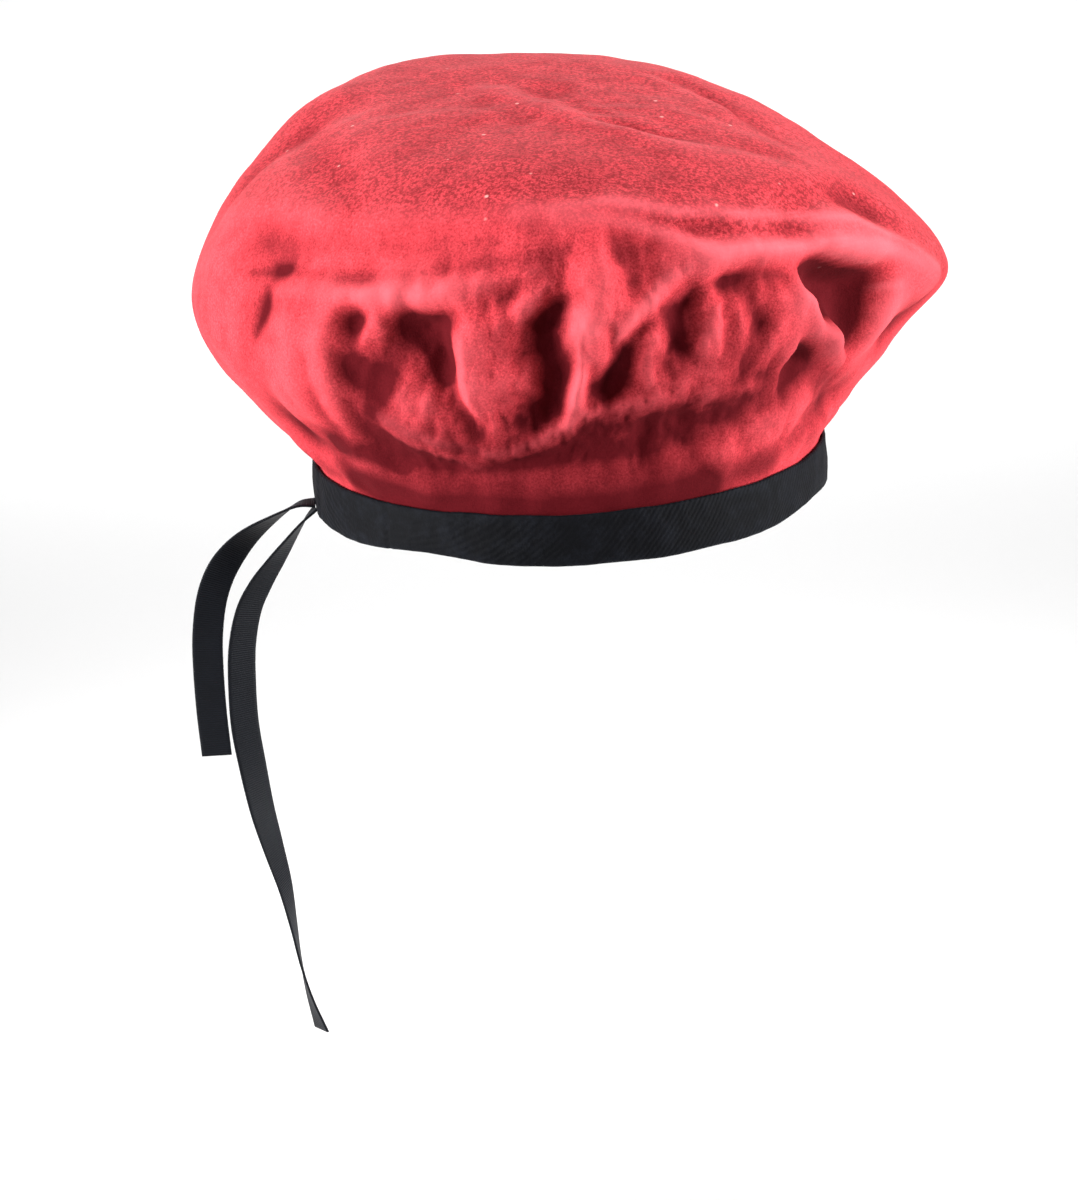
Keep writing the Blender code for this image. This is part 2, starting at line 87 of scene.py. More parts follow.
# The bulges of cloth that push against each other at the crumpled back. A path runs through
# bearings: an angle round the crown and a slope above or below its middle, in degrees. Left and
# right are how far a bulge spreads from its path to either hand, seen from outside on the way
# along the path, as shares of the fold width. Rise is how far it stands out, as a share of the
# fold depth.
Bulge = namedtuple("Bulge", "path left right rise")
POCKET_FLOOR = -0.76         # how far the cloth sinks between the bulges
BULGE_SOFTNESS = 0.06       # how softly two bulges meet
BULGE_FALL = 1.9             # how roundly a bulge falls away from its path
HAND_BLEND = 0.004           # how far from the path a bulge is the same to either hand
CRUMPLED_AROUND = (16, 36, 150, 166)     # the angles where the crumpled back fades in and out
CRUMPLED_UP = (-22, -14, 18, 27)         # the slopes where it does so
BULGES = (
    # The side of the crown, and the body below the pockets
    Bulge(((22, -10), (21, 2), (20, 12)), 4.5, 3.4, 0.10),
    Bulge(((43, -10), (41.5, 1), (40, 11)), 3.2, 2.2, 0.14),
    Bulge(((49.5, -9), (48, -2), (48, 6), (50.5, 13)), 1.5, 0.9, 0.08),
    Bulge(((44, -14), (56, -18)), 1.7, 2.4, -0.12),
    Bulge(((66, -20), (82, -22), (100, -21)), 1.3, 2.4, -0.40),
    Bulge(((112, -18), (125, -14), (140, -11)), 1.7, 2.4, 0.00),
    # The roll above the pockets
    Bulge(((38, 13), (48, 14.2), (58, 14.8), (68, 15.2), (76, 15.5), (84, 17.5), (91, 20.5)), 3.4, 0.70, 0.22),
    Bulge(((84, 22), (92, 22), (101, 20)), 1.2, 1.10, 0.14),
    Bulge(((104, 17), (113, 17), (122, 16), (130, 15)), 2.3, 0.80, 0.32),
    Bulge(((132, 17), (142, 14), (153, 10.3)), 2.4, 0.42, 0.20),
    # Between the pockets, from the wearer's left to the right
    Bulge(((55.5, 6), (58, 9.5), (61, 13.5)), 0.55, 0.70, -0.10),
    Bulge(((51, 3), (56, 2.5), (60, 4)), 0.80, 0.80, -0.46),
    Bulge(((60, -4), (64, -2.5), (69.5, -3)), 0.95, 1.60, -0.26),
    Bulge(((66, -7.5), (74, -9)), 1.00, 1.00, -0.30),
    Bulge(((76, -6.5), (75, -3), (74, 1), (73.8, 6), (74.5, 14)), 0.42, 2.30, 0.12),
    Bulge(((77, -3), (77, 7)), 1.00, 1.60, 0.00),
    Bulge(((79, 8.5), (83, 11.3), (87, 14), (91, 16)), 1.20, 0.36, 0.02),
    Bulge(((89.5, -8), (90.8, -2), (92, 3), (93, 8)), 0.55, 0.55, 0.00),
    Bulge(((94, 6), (94.8, 14), (95, 23)), 1.30, 1.60, 0.28),
    Bulge(((97, 6), (100, 10), (105, 13.5), (111, 16.5)), 0.75, 0.70, 0.12),
    Bulge(((98, 13), (101, 18), (104, 23)), 0.90, 0.90, -0.10),
    Bulge(((102.8, -2), (103.2, 5), (105, 10)), 0.60, 1.00, -0.10),
    Bulge(((112.8, 1), (113.5, 8), (112.5, 15)), 0.55, 0.80, 0.06),
    Bulge(((119.5, 4), (119.5, 8), (117, 12)), 0.50, 0.55, -0.06),
    Bulge(((123, -1), (125.2, 4), (124, 9), (120.5, 13)), 0.50, 0.50, 0.00),
    Bulge(((127, -2), (129.8, 3.5), (128.5, 8), (125, 12)), 0.60, 0.90, 0.06),
    Bulge(((104, -2), (112, -1), (121, -2)), 1.20, 1.20, -0.24),
    Bulge(((107, 5), (118, 6), (128, 4)), 1.80, 1.80, -0.28),
    # Either side of the deep three-cornered pocket at the wearer's right
    Bulge(((147.5, -5.5), (141, -0.5), (135, 4.5), (130.5, 10), (128, 15)), 0.90, 0.46, 0.22),
    Bulge(((151.5, -7), (153.5, 0), (155, 10)), 0.36, 2.80, 0.17),
    # The seam below the pockets and a fold beside it
    Bulge(((45, 3), (51, -1), (59, -6), (67, -9.5), (77, -12), (83, -11), (91, -6), (100, -4.5),
           (110, -4), (120, -4.5), (131, -6.5), (141, -6)), 0.36, 0.62, -0.14),
    Bulge(((60, -9), (71, -13.5), (84, -17)), 0.34, 0.60, -0.20),
)
# The edge of the flat top: an angle round the crown and the slope there, in degrees
TOP_EDGE = ((4, 20), (18, 23), (39, 25), (60, 26), (84, 27), (99, 26), (107, 21.5), (115, 18), (129, 17),
            (142, 14), (151, 12), (156, 10), (165, 4), (190, 0), (250, 4), (320, 12))

# Painted shade: places in the shade of the folds, where the cloth's colour is painted a deeper red.
PaintedLine = namedtuple("PaintedLine", "path width strength")
PAINTED_SHADES = (
    PaintedLine(((24, -22), (44, -21)), 0.80, 0.40),
    PaintedLine(((47, -21), (75, -22.5), (95, -22.5), (114, -21.5)), 1.40, 0.98),
    PaintedLine(((114, -21.5), (128, -20)), 1.00, 0.70),
    PaintedLine(((131, -19), (150, -17)), 0.80, 0.35),
    PaintedLine(((56, -5), (67, -10), (77, -13), (84, -11.5), (95, -7), (108, -5.5), (122, -6)), 0.60, 0.70),
    PaintedLine(((46, -13), (52, -14), (58, -16)), 0.80, 0.85),
    PaintedLine(((33, -13), (42, -14)), 1.30, 0.30),
    PaintedLine(((58, -9), (75, -14), (95, -11), (118, -6), (138, -3)), 2.60, 0.50),
    PaintedLine(((104, 1), (120, 1), (134, 0)), 1.50, 0.42),
    PaintedLine(((60, -12), (72, -15), (84, -14), (94, -10), (106, -8)), 1.00, 0.62),
    PaintedLine(((53, -6), (60, -11), (66, -13)), 0.50, 0.35),
    PaintedLine(((53, 10), (54, 6)), 0.60, 0.20),
    PaintedLine(((64, 10.5), (68.5, 9), (69, 2)), 0.70, 0.50),
    PaintedLine(((53, 2), (59, 1), (59, -4)), 0.85, 0.55),
    PaintedLine(((87, 9.5), (89, 4), (87, -4), (79, -8)), 0.70, 0.50),
    PaintedLine(((60, 3), (62, -4)), 0.80, 0.40),
    PaintedLine(((80, -2), (83, -7)), 0.70, 0.42),
    PaintedLine(((99, 4), (97.5, -1), (95.5, -6)), 0.60, 0.48),
    PaintedLine(((106, 10), (109, 6)), 0.50, 0.40),
    PaintedLine(((112, -2), (120, 0)), 0.60, 0.25),
    PaintedLine(((133, 0), (130, -4)), 0.45, 0.45),
    PaintedLine(((136, 12), (146, 8), (149, 1)), 0.85, 0.50),
    PaintedLine(((28, 14), (37, 16), (54, 16), (61, 17), (69, 18), (78, 19), (91, 21)), 0.22, 0.30),
    PaintedLine(((34, 15.3), (38, 16)), 0.34, 0.45),
    PaintedLine(((52, 16), (58, 16.3)), 0.32, 0.50),
    PaintedLine(((77, 19), (84, 19.4), (90, 20.5)), 0.28, 0.26),
    PaintedLine(((74, 15.2), (83, 15.6)), 0.36, 0.28),
    PaintedLine(((98, 24), (99, 19), (101, 16)), 0.22, 0.22),
    PaintedLine(((103, 25.5), (112, 22.3), (120, 20.3), (130, 19.5), (138, 18)), 0.30, 0.26),
    PaintedLine(((114, 13.6), (120, 14.2), (127, 13)), 0.22, 0.32),
    PaintedLine(((33, 11.5), (32, 5)), 0.30, 0.40),
    PaintedLine(((45, 4), (46, -3), (47, -9)), 0.28, 0.35),
)

# Painted highlights: thin lighter lines along the rims of folds, where they would catch the light
PAINTED_HIGHLIGHTS = (
    PaintedLine(((84, 27), (99, 28), (110, 25), (122, 23), (138, 20), (147, 18), (153, 14), (158, 12),
           (167, 4)), 0.20, 0.62),
    PaintedLine(((90, 26), (101, 24), (107, 22), (115, 18), (129, 17), (142, 14), (151, 12), (156, 10),
           (165, 4)), 0.24, 0.70),
    PaintedLine(((45, 12), (55, 14), (64, 15), (72, 16), (80, 17.5)), 0.40, 0.35),
    PaintedLine(((136, 8), (145, 7), (157, 5)), 0.16, 0.80),
    PaintedLine(((97, 6), (102, 11), (106, 15), (111, 16.5)), 0.22, 0.60),
    PaintedLine(((89, 14), (93, 9), (92, 3)), 0.45, 0.50),
    PaintedLine(((92, 3), (90.8, -2), (90, -6)), 0.20, 0.50),
    PaintedLine(((45, 3), (51, -1), (59, -6), (67, -9.5), (77, -12), (83, -11), (91, -6), (100, -4.5),
           (110, -4)), 0.18, 0.22),
    PaintedLine(((50, -9), (60, -10), (71, -14.5), (84, -18)), 0.16, 0.25),
)

# Creases (depth below 0) and ridges over the whole crown. Width and depth are shares of the fold
# width and depth, and a sharp fold has a low power. The pits are the deepest places between
# the bulges.
Fold = namedtuple("Fold", "path width depth power")
PITS = (
    Fold(((54, 10.8), (55.5, 8.5)), 0.60, -0.32, 2.0),
    Fold(((53, -3), (60, 2.5)), 0.80, -0.20, 2.0),
    Fold(((63.5, 9.5), (66.5, 6)), 0.80, -0.48, 2.0),
    Fold(((69, 9.5), (69, 0)), 0.45, -0.35, 2.0),
    Fold(((88, 11), (87.5, 7)), 0.55, -0.34, 2.0),
    Fold(((88, 4), (87.5, -5), (84, -8)), 0.70, -0.42, 2.0),
    Fold(((99, 4), (97.5, -1), (95.5, -6)), 0.55, -0.32, 2.0),
    Fold(((107.5, 9.5), (108.5, 5)), 0.45, -0.28, 2.0),
    Fold(((116.5, 9.5), (116.5, 6)), 0.40, -0.28, 2.0),
    Fold(((133, 0.5), (131, -3.5)), 0.45, -0.36, 2.0),
    Fold(((136, 12), (146, 7.5), (149, 1)), 0.95, -0.66, 2.0),
)
FOLDS = (
    # The long crease over the left of the back
    Fold(((24, 20), (40, 21), (58, 21.5), (76, 23)), 0.90, -0.14, 2.0),
    Fold(((33, 15), (37, 16), (46, 16), (54, 16), (61, 17), (69, 18), (78, 19), (84, 19.2), (91, 21)),
         0.32, -0.22, 1.6),
    Fold(((34, 15.3), (38, 16)), 0.40, -0.16, 2.0),
    Fold(((52, 16), (58, 16.3)), 0.40, -0.18, 2.0),
    Fold(((67, 15.8), (77, 15), (85, 16)), 0.34, -0.14, 1.8),
    # Soft folds of the lower body
    Fold(((22, 6), (27, -6), (33, -17)), 0.55, -0.12, 2.0),
    Fold(((38, 8), (40, -3), (44, -14)), 0.45, -0.14, 2.0),
    Fold(((101, -9), (103, -15), (104, -20)), 0.30, -0.10, 2.0),
    Fold(((109, -8), (111, -14), (112, -20)), 0.26, -0.09, 2.0),
    Fold(((117, -6), (120, -13), (121, -19)), 0.30, -0.11, 2.0),
    Fold(((128, -6), (130, -12), (131, -18)), 0.26, -0.09, 2.0),
    # Slits
    Fold(((34, 11.5), (33, 8), (32, 5)), 0.36, -0.24, 1.6),
    Fold(((45, 4), (46, -3), (47, -9)), 0.36, -0.24, 1.6),
    Fold(((98, 24), (99, 19), (101, 15.5)), 0.30, -0.12, 1.6),
    Fold(((121.5, 10), (123.5, 4)), 0.30, -0.30, 1.6),
    Fold(((114, 13.6), (120, 14.2), (127, 13)), 0.28, -0.28, 1.6),
    Fold(((119, 16), (127, 14.5)), 0.26, -0.20, 1.6),
    Fold(((132.5, 11), (138, 1)), 0.24, -0.24, 1.6),
    Fold(((103, 25), (112, 22.3), (120, 20.3), (130, 19.5), (142, 17)), 0.50, -0.18, 2.0),
    Fold(((173, -3), (160, -4)), 0.90, -0.55, 2.0),
    # The back edge of the top
    Fold(((4, 20), (18, 23), (39, 25), (60, 26), (84, 27)), 0.50, 0.12, 2.0),
    Fold(((84, 27), (99, 28), (110, 25), (122, 23), (138, 20), (147, 18), (153, 14), (158, 12), (167, 4)),
         0.42, 0.32, 1.9),
    Fold(((90, 26), (101, 24), (107, 22), (115, 18), (129, 17), (142, 14), (151, 12), (156, 10), (165, 4)),
         0.40, 0.30, 1.9),
    # The top and the sides
    Fold(((330, 72), (98, 66), (118, 50), (128, 42), (140, 36)), 1.20, 0.22, 2.2),
    Fold(((110, 62), (128, 48), (138, 40), (150, 33)), 0.80, -0.22, 2.2),
    Fold(((215, 52), (190, 44), (165, 34)), 0.80, -0.22, 2.2),
    Fold(((0, 20), (345, 40)), 1.20, -0.20, 2.2),
    Fold(((352, 36), (21, 37), (40, 32), (50, 27)), 0.60, -0.20, 2.0),
    Fold(((205, 12), (240, 4)), 0.90, -0.35, 2.2),
    Fold(((225, 14), (262, 14)), 1.00, 0.25, 2.2),
    Fold(((335, -4), (350, 8)), 0.90, -0.30, 2.2),
    Fold(((285, -2), (318, 6)), 1.10, -0.30, 2.2),
)

# The ties: points along each ribbon's middle, and how far its face has turned there from lying
# level (0) to facing the back (90), in degrees.
TiePoint = namedtuple("TiePoint", "x y z turn")
SHORT_TIE = (
    TiePoint(0.0825, 0.0215, 0.0030, 0),
    TiePoint(0.0885, 0.0215, 0.0026, 8),
    TiePoint(0.0970, 0.0205, -0.0020, 25),
    TiePoint(0.1055, 0.0195, -0.0080, 48),
    TiePoint(0.1120, 0.0185, -0.0150, 68),
    TiePoint(0.1162, 0.0175, -0.0220, 80),
    TiePoint(0.1192, 0.0165, -0.0305, 86),
    TiePoint(0.1212, 0.0158, -0.0420, 90),
    TiePoint(0.1219, 0.0152, -0.0540, 92),
    TiePoint(0.1220, 0.0150, -0.0680, 94),
    TiePoint(0.1215, 0.0150, -0.0830, 96),
)
LONG_TIE = (
    TiePoint(0.0825, 0.0215, 0.0012, 0),
    TiePoint(0.0870, 0.0230, -0.0030, 10),
    TiePoint(0.0915, 0.0240, -0.0085, 22),
    TiePoint(0.0965, 0.0245, -0.0150, 36),
    TiePoint(0.1020, 0.0250, -0.0225, 48),
    TiePoint(0.1065, 0.0250, -0.0310, 54),
    TiePoint(0.1095, 0.0245, -0.0430, 58),
    TiePoint(0.1106, 0.0240, -0.0560, 60),
    TiePoint(0.1108, 0.0235, -0.0700, 60),
    TiePoint(0.1095, 0.0230, -0.0840, 56),
    TiePoint(0.1075, 0.0225, -0.1000, 46),
    TiePoint(0.1048, 0.0220, -0.1140, 34),
    TiePoint(0.1020, 0.0215, -0.1280, 20),
    TiePoint(0.1003, 0.0210, -0.1420, 6),
    TiePoint(0.0990, 0.0205, -0.1550, -4),
    TiePoint(0.0968, 0.0205, -0.1680, -16),
    TiePoint(0.0938, 0.0205, -0.1800, -30),
)


# ------------------------------------------------------------------ settings
def length(name, description, default):
    """A length in metres for a settings group."""
    return FloatProperty(name=name, description=description, default=default, min=0.0,
                         subtype="DISTANCE", unit="LENGTH", precision=4)


def colour(name, description, default):
    """A linear colour for a settings group."""
    return FloatVectorProperty(name=name, description=description, default=default, size=3,
                               min=0.0, max=1.0, subtype="COLOR")


class CrownSettings(bpy.types.PropertyGroup):
    """Sizes and colours of the wool crown"""
    width: length("Width", "The slumped crown from side to side", 0.244)
    length: length("Length", "The slumped crown from front to back", 0.228)
    height: length("Height", "From the binding's lower edge to the top", 0.130)
    thickness: length("Cloth Thickness", "Thickness of the wool cloth", 0.0022)
    fold_width: length("Fold Width", "Half the width of an ordinary fold", 0.010)
    fold_depth: length("Fold Depth", "How far an ordinary fold stands out or sinks in", 0.013)
    gather_depth: length("Gather Depth", "Depth of the puckers above the binding", 0.0009)
    crumple_depth: length("Crumple Depth", "Height of the small creases at the back", 0.0012)
    wool: colour("Wool", "Colour of the wool cloth", (0.53, 0.038, 0.049))
    # Painted shade colour for the folds, also the colour that the random mottle leans towards
    mottle_and_shade_wool: colour("Deep Wool", "Colour where the cloth is folded in", (0.056, 0.0019, 0.0040))
    nap: colour("Nap", "Colour of the soft fibres that catch the light", (1.0, 0.36, 0.37))


class BindingSettings(bpy.types.PropertyGroup):
    """Sizes and colours of the tape bound round the head opening"""
    width: length("Opening Width", "Head opening from side to side", 0.154)
    length: length("Opening Length", "Head opening from front to back", 0.192)
    height: length("Height", "Height of the binding", 0.0165)
    thickness: length("Thickness", "Thickness of one leaf of the tape", 0.0012)
    tape: colour("Tape", "Colour of the tape", (0.0012, 0.0014, 0.0024))
    worn_tape: colour("Worn Tape", "Colour of the tape where it is rubbed", (0.006, 0.007, 0.0105))


class TieSettings(bpy.types.PropertyGroup):
    """Sizes and colours of the ribbon ties"""
    width: length("Width", "Width of the ribbon", 0.010)
    thickness: length("Thickness", "Thickness of the ribbon", 0.0008)
    ribbon: colour("Ribbon", "Colour of the ribbon", (0.0014, 0.0017, 0.0028))
    ribbon_rib: colour("Ribbon Rib", "Colour of the ribbon's raised ribs", (0.004, 0.0052, 0.0085))


class StageSettings(bpy.types.PropertyGroup):
    """Light and floor of the studio"""
    floor_drop: length("Floor Drop", "How far the floor lies below the head opening", 0.235)
    side_light: FloatProperty(name="Side Lights", description="Power of the two side lights",
                              default=4.5, min=0.0, subtype="POWER", unit="POWER")
    key_light: FloatProperty(name="Key Light", description="Power of the light behind the left shoulder",
                             default=0.25, min=0.0, subtype="POWER", unit="POWER")
    top_light: FloatProperty(name="Top Light", description="Power of the light overhead",
                             default=1.45, min=0.0, subtype="POWER", unit="POWER")
    front_light: FloatProperty(name="Front Light", description="Power of the light beside the camera",
                               default=0.40, min=0.0, subtype="POWER", unit="POWER")
    paper_light: FloatProperty(name="Paper Light", description="Power of the backdrop's light",
                               default=15.0, min=0.0, subtype="POWER", unit="POWER")
    surround: FloatProperty(name="Surround", description="Strength of the light from all round",
                            default=0.03, min=0.0)
    glow: FloatProperty(name="Paper Glow", description="Strength of the light that shines through the paper",
                        default=0.10, min=0.0)
    paper: colour("Paper", "Colour of the floor and backdrop", (0.86, 0.86, 0.86))


# ------------------------------------------------------------------ meshes and curves
def blend(before, start, end, after, share):
    """A smooth curve from start to end that heads the way its neighbours lie."""
    bend = 2 * before - 5 * start + 4 * end - after
    twist = -before + 3 * start - 3 * end + after
    return start + 0.5 * share * ((end - before) + share * (bend + share * twist))


def bearing(angle, slope):
    """The direction of a bearing given in degrees, or of rows of bearings."""
    angle, slope = np.radians(angle), np.radians(slope)
    return np.stack((np.cos(slope) * np.cos(angle), np.cos(slope) * np.sin(angle),
                     np.sin(slope) + 0 * angle), axis=-1)


def unit(rows):
    """Rows of vectors at length one."""
    return rows / np.maximum(np.linalg.norm(rows, axis=-1, keepdims=True), 1e-9)


def square_to_round(across, up):
    """The angle and ring of a point on a square grid that is opened out into a round one."""
    if across == 0 and up == 0:
        return 0.0, 0.0
    if abs(across) >= abs(up):
        return math.pi / 4 * up / across + (math.pi if across < 0 else 0.0), abs(across)
    return math.pi / 2 - math.pi / 4 * across / up + (math.pi if up < 0 else 0.0), abs(up)


def side_station(share):
    """The station of a row a share of the way down the side, drawn towards the side's middle."""
    drawn = share + SIDE_CROWDING * math.sin(math.tau * share) / math.tau
    return CAP_STATION + (LAST_STATION - CAP_STATION) * drawn


def ray_reach(east, north, across, lengthwise):
    """How far from the middle a ray meets an oval whose own middle lies behind it."""
    square = (east / across) ** 2 + (north / lengthwise) ** 2
    cross = north * WIDEST_PLACE / lengthwise ** 2
    rest = (WIDEST_PLACE / lengthwise) ** 2 - 1
    return (cross + np.sqrt(cross ** 2 - square * rest)) / square


def opening_reach(binding, angle, offset):
    """How far the head opening's outline lies from its middle, widened by an offset."""
    across = binding.width / 2 + offset
    lengthwise = binding.length / 2 + offset
    east, north = np.cos(angle), np.sin(angle)
    behind = ray_reach(east, north, across, lengthwise - WIDEST_PLACE)
    before = ray_reach(east, north, across, lengthwise + WIDEST_PLACE)
    return np.where(behind * north >= WIDEST_PLACE, behind, before)


def wandering(points, scale, seed):
    """Smooth noise vectors at rows of points."""
    return np.stack([bumps(points, scale, seed + shift, 1) for shift in (0.0, 37.0, 71.0)], axis=-1)


def bumps(points, scale, seed, octaves=2):
    """Smooth noise values from about -1 to 1 at rows of points."""
    start = Vector((seed, seed / 3, -seed))
    return np.array([noise.fractal(Vector(point) * scale + start, 1.0, 2.0, octaves)
                     for point in points])


def finished(name, bm, cloth):
    """Put a bmesh into the scene as a smooth object with one material."""
    mesh = bpy.data.meshes.new(name)
    bm.to_mesh(mesh)
    bm.free()
    mesh.materials.append(cloth)
    mesh.shade_smooth()
    made = bpy.data.objects.new(name, mesh)
    bpy.context.scene.collection.objects.link(made)
    return made


def write_attribute(mesh, name, values):
    """Keep one number per point on a mesh for its material."""
    layer = mesh.attributes.new(name, "FLOAT", "POINT")
    layer.data.foreach_set("value", np.ascontiguousarray(values, dtype=np.float32))


# ------------------------------------------------------------------ crown
def crown_grid(columns, rows):
    """A round cap on a square grid with rows of cloth let down from its rim, flat as yet."""
    bm = bmesh.new()
    segments = columns // 4
    bmesh.ops.create_grid(bm, x_segments=segments, y_segments=segments, size=1.0)
    angle_of = bm.verts.layers.float.new("angle")
    station_of = bm.verts.layers.float.new("station")
    for vert in bm.verts:
        turn, ring = square_to_round(vert.co.x, vert.co.y)
        vert[angle_of] = turn + BACK_CROWDING * math.cos(turn)
        vert[station_of] = ring * CAP_STATION
    rim = [edge for edge in bm.edges if edge.is_boundary]
    steps = [side_station(row / rows) for row in range(1, rows + 1)]
    for station in steps + [LAST_STATION + 1]:
        grown = bmesh.ops.extrude_edge_only(bm, edges=rim)["geom"]
        for item in grown:
            if isinstance(item, bmesh.types.BMVert):
                item[station_of] = station
        rim = [item for item in grown if isinstance(item, bmesh.types.BMEdge) and item.is_boundary]
    angle = np.array([vert[angle_of] for vert in bm.verts])
    station = np.array([vert[station_of] for vert in bm.verts])
    return bm, angle, station


def crown_base(crown, binding, angle, station):
    """Where the unfolded crown lies at rows of angles and stations."""
    table = np.array([row[1:] for row in SECTIONS])
    row = np.degrees(angle) % 360 / (360 / len(SECTIONS))
    first = row.astype(int)
    four = [table[(first + shift) % len(SECTIONS)] for shift in (-1, 0, 1, 2)]
    share = blend(*four, (row - first)[:, None, None])
    half = 1 / np.hypot(2 * np.cos(angle) / crown.width, 2 * np.sin(angle) / crown.length)
    places = share * np.stack((half, np.full_like(half, crown.height)), axis=-1)[:, None, :]

    apex = np.tile((0.0, APEX_SHARE * crown.height), (len(angle), 1))
    cloth_outside = binding.thickness + CLEARANCE + crown.thickness
    reach = opening_reach(binding, angle, cloth_outside)
    mouth = np.stack((reach, np.full_like(reach, binding.height)), axis=-1)
    hem = np.stack((reach, np.full_like(reach, binding.thickness + CLEARANCE)), axis=-1)
    mirrored = places[:, 0] * (-1.0, 1.0)
    stations = np.concatenate((mirrored[:, None], apex[:, None], places, mouth[:, None],
                               hem[:, None]), axis=1)
    first = np.minimum(station.astype(int), LAST_STATION - 1)
    spot = np.arange(len(angle))
    flat = blend(*[stations[spot, first + shift] for shift in range(4)], (station - first)[:, None])
    hidden = station > LAST_STATION
    flat[hidden] = hem[hidden]
    return np.stack((flat[:, 0] * np.cos(angle), flat[:, 0] * np.sin(angle), flat[:, 1]), axis=-1)


def along_path(way, bearings):
    """How far rows of directions lie from a path, to which hand, and their place along it."""
    path = bearing(*np.array(bearings, dtype=float).T)
    lengths = np.linalg.norm(np.diff(path, axis=0), axis=1)
    starts = np.concatenate(((0.0,), np.cumsum(lengths)))
    nearest = np.full(len(way), np.inf)
    hand, place = np.zeros(len(way)), np.zeros(len(way))
    for step, start in enumerate(path[:-1]):
        along = path[step + 1] - start
        share = np.clip((way - start) @ along / (along @ along), 0.0, 1.0)
        apart = way - start - share[:, None] * along
        away = np.linalg.norm(apart, axis=1)
        closer = away < nearest
        nearest = np.where(closer, away, nearest)
        leftwards = np.cross(way, along / lengths[step])
        hand = np.where(closer, (apart * leftwards).sum(axis=1) / (away + HAND_BLEND), hand)
        place = np.where(closer, starts[step] + share * lengths[step], place)
    return nearest, hand, place / starts[-1]


def fold_lift(way, folds, crown):
    """How far creases and ridges move the cloth out along rows of directions."""
    lift = np.zeros(len(way))
    for fold in folds:
        away, _, place = along_path(way, fold.path)
        taper = 1 - 0.45 * np.abs(2 * place - 1) ** 3
        spread = away * crown.width / 2 / (fold.width * crown.fold_width)
        lift += fold.depth * crown.fold_depth * taper * np.exp(-spread ** fold.power)
    return lift


def shaded_in(way, rows, fading, crown):
    """How far each direction lies in the rows' lines of painted shade and painted highlight, which fade by a
    share towards their ends.
    """
    shade = np.zeros(len(way))
    for row in rows:
        away, _, place = along_path(way, row.path)
        taper = 1 - fading * np.abs(2 * place - 1) ** 3
        spread = away * crown.width / 2 / (row.width * crown.fold_width)
        shade = np.maximum(shade, row.strength * taper * np.exp(-spread ** 2))
    return shade


def bulge_lift(way, crown):
    """How far the bulges of the back stand out or sink in along rows of directions."""
    heights = [np.full(len(way), POCKET_FLOOR)]
    for bulge in BULGES:
        away, hand, place = along_path(way, bulge.path)
        reach = bulge.right + (bulge.left - bulge.right) * (0.5 + 0.5 * np.clip(hand, -1, 1))
        taper = 1 - 0.35 * np.abs(2 * place - 1) ** 3
        fall = (away * crown.width / 2 / (reach * crown.fold_width)) ** BULGE_FALL
        heights.append(POCKET_FLOOR + (bulge.rise - POCKET_FLOOR) * taper * np.exp(-fall))
    heights = np.array(heights)
    top = heights.max(axis=0)
    over = np.log(np.exp((heights - top) / BULGE_SOFTNESS).sum(axis=0)) - 1
    return (top + BULGE_SOFTNESS * over) * crown.fold_depth


def ease(value, low, high):
    """A smooth step from 0 to 1 between two values."""
    share = np.clip((value - low) / (high - low), 0.0, 1.0)
    return share * share * (3 - 2 * share)


def band(value, rising, full, falling, gone):
    """1 between two limits, fading to 0 outside them."""
    return ease(value, rising, full) * (1 - ease(value, falling, gone))


def evened(values, edges, rounds):
    """Each value drawn towards its neighbours' mean, several times over."""
    ends = np.concatenate((edges[:, 0], edges[:, 1]))
    others = np.concatenate((edges[:, 1], edges[:, 0]))
    neighbours = np.bincount(ends, minlength=len(values))
    for _ in range(rounds):
        values = np.bincount(ends, weights=values[others], minlength=len(values)) / neighbours
    return values


def hem_rise(degrees, share):
    """How far the lower edge is drawn up where the opening lies close to the head."""
    drawn = np.exp(-((degrees - 61) / 13) ** 2) + 0.8 * np.exp(-((degrees - 147) / 11) ** 2)
    return 0.0026 * drawn * (1 - share) ** 2


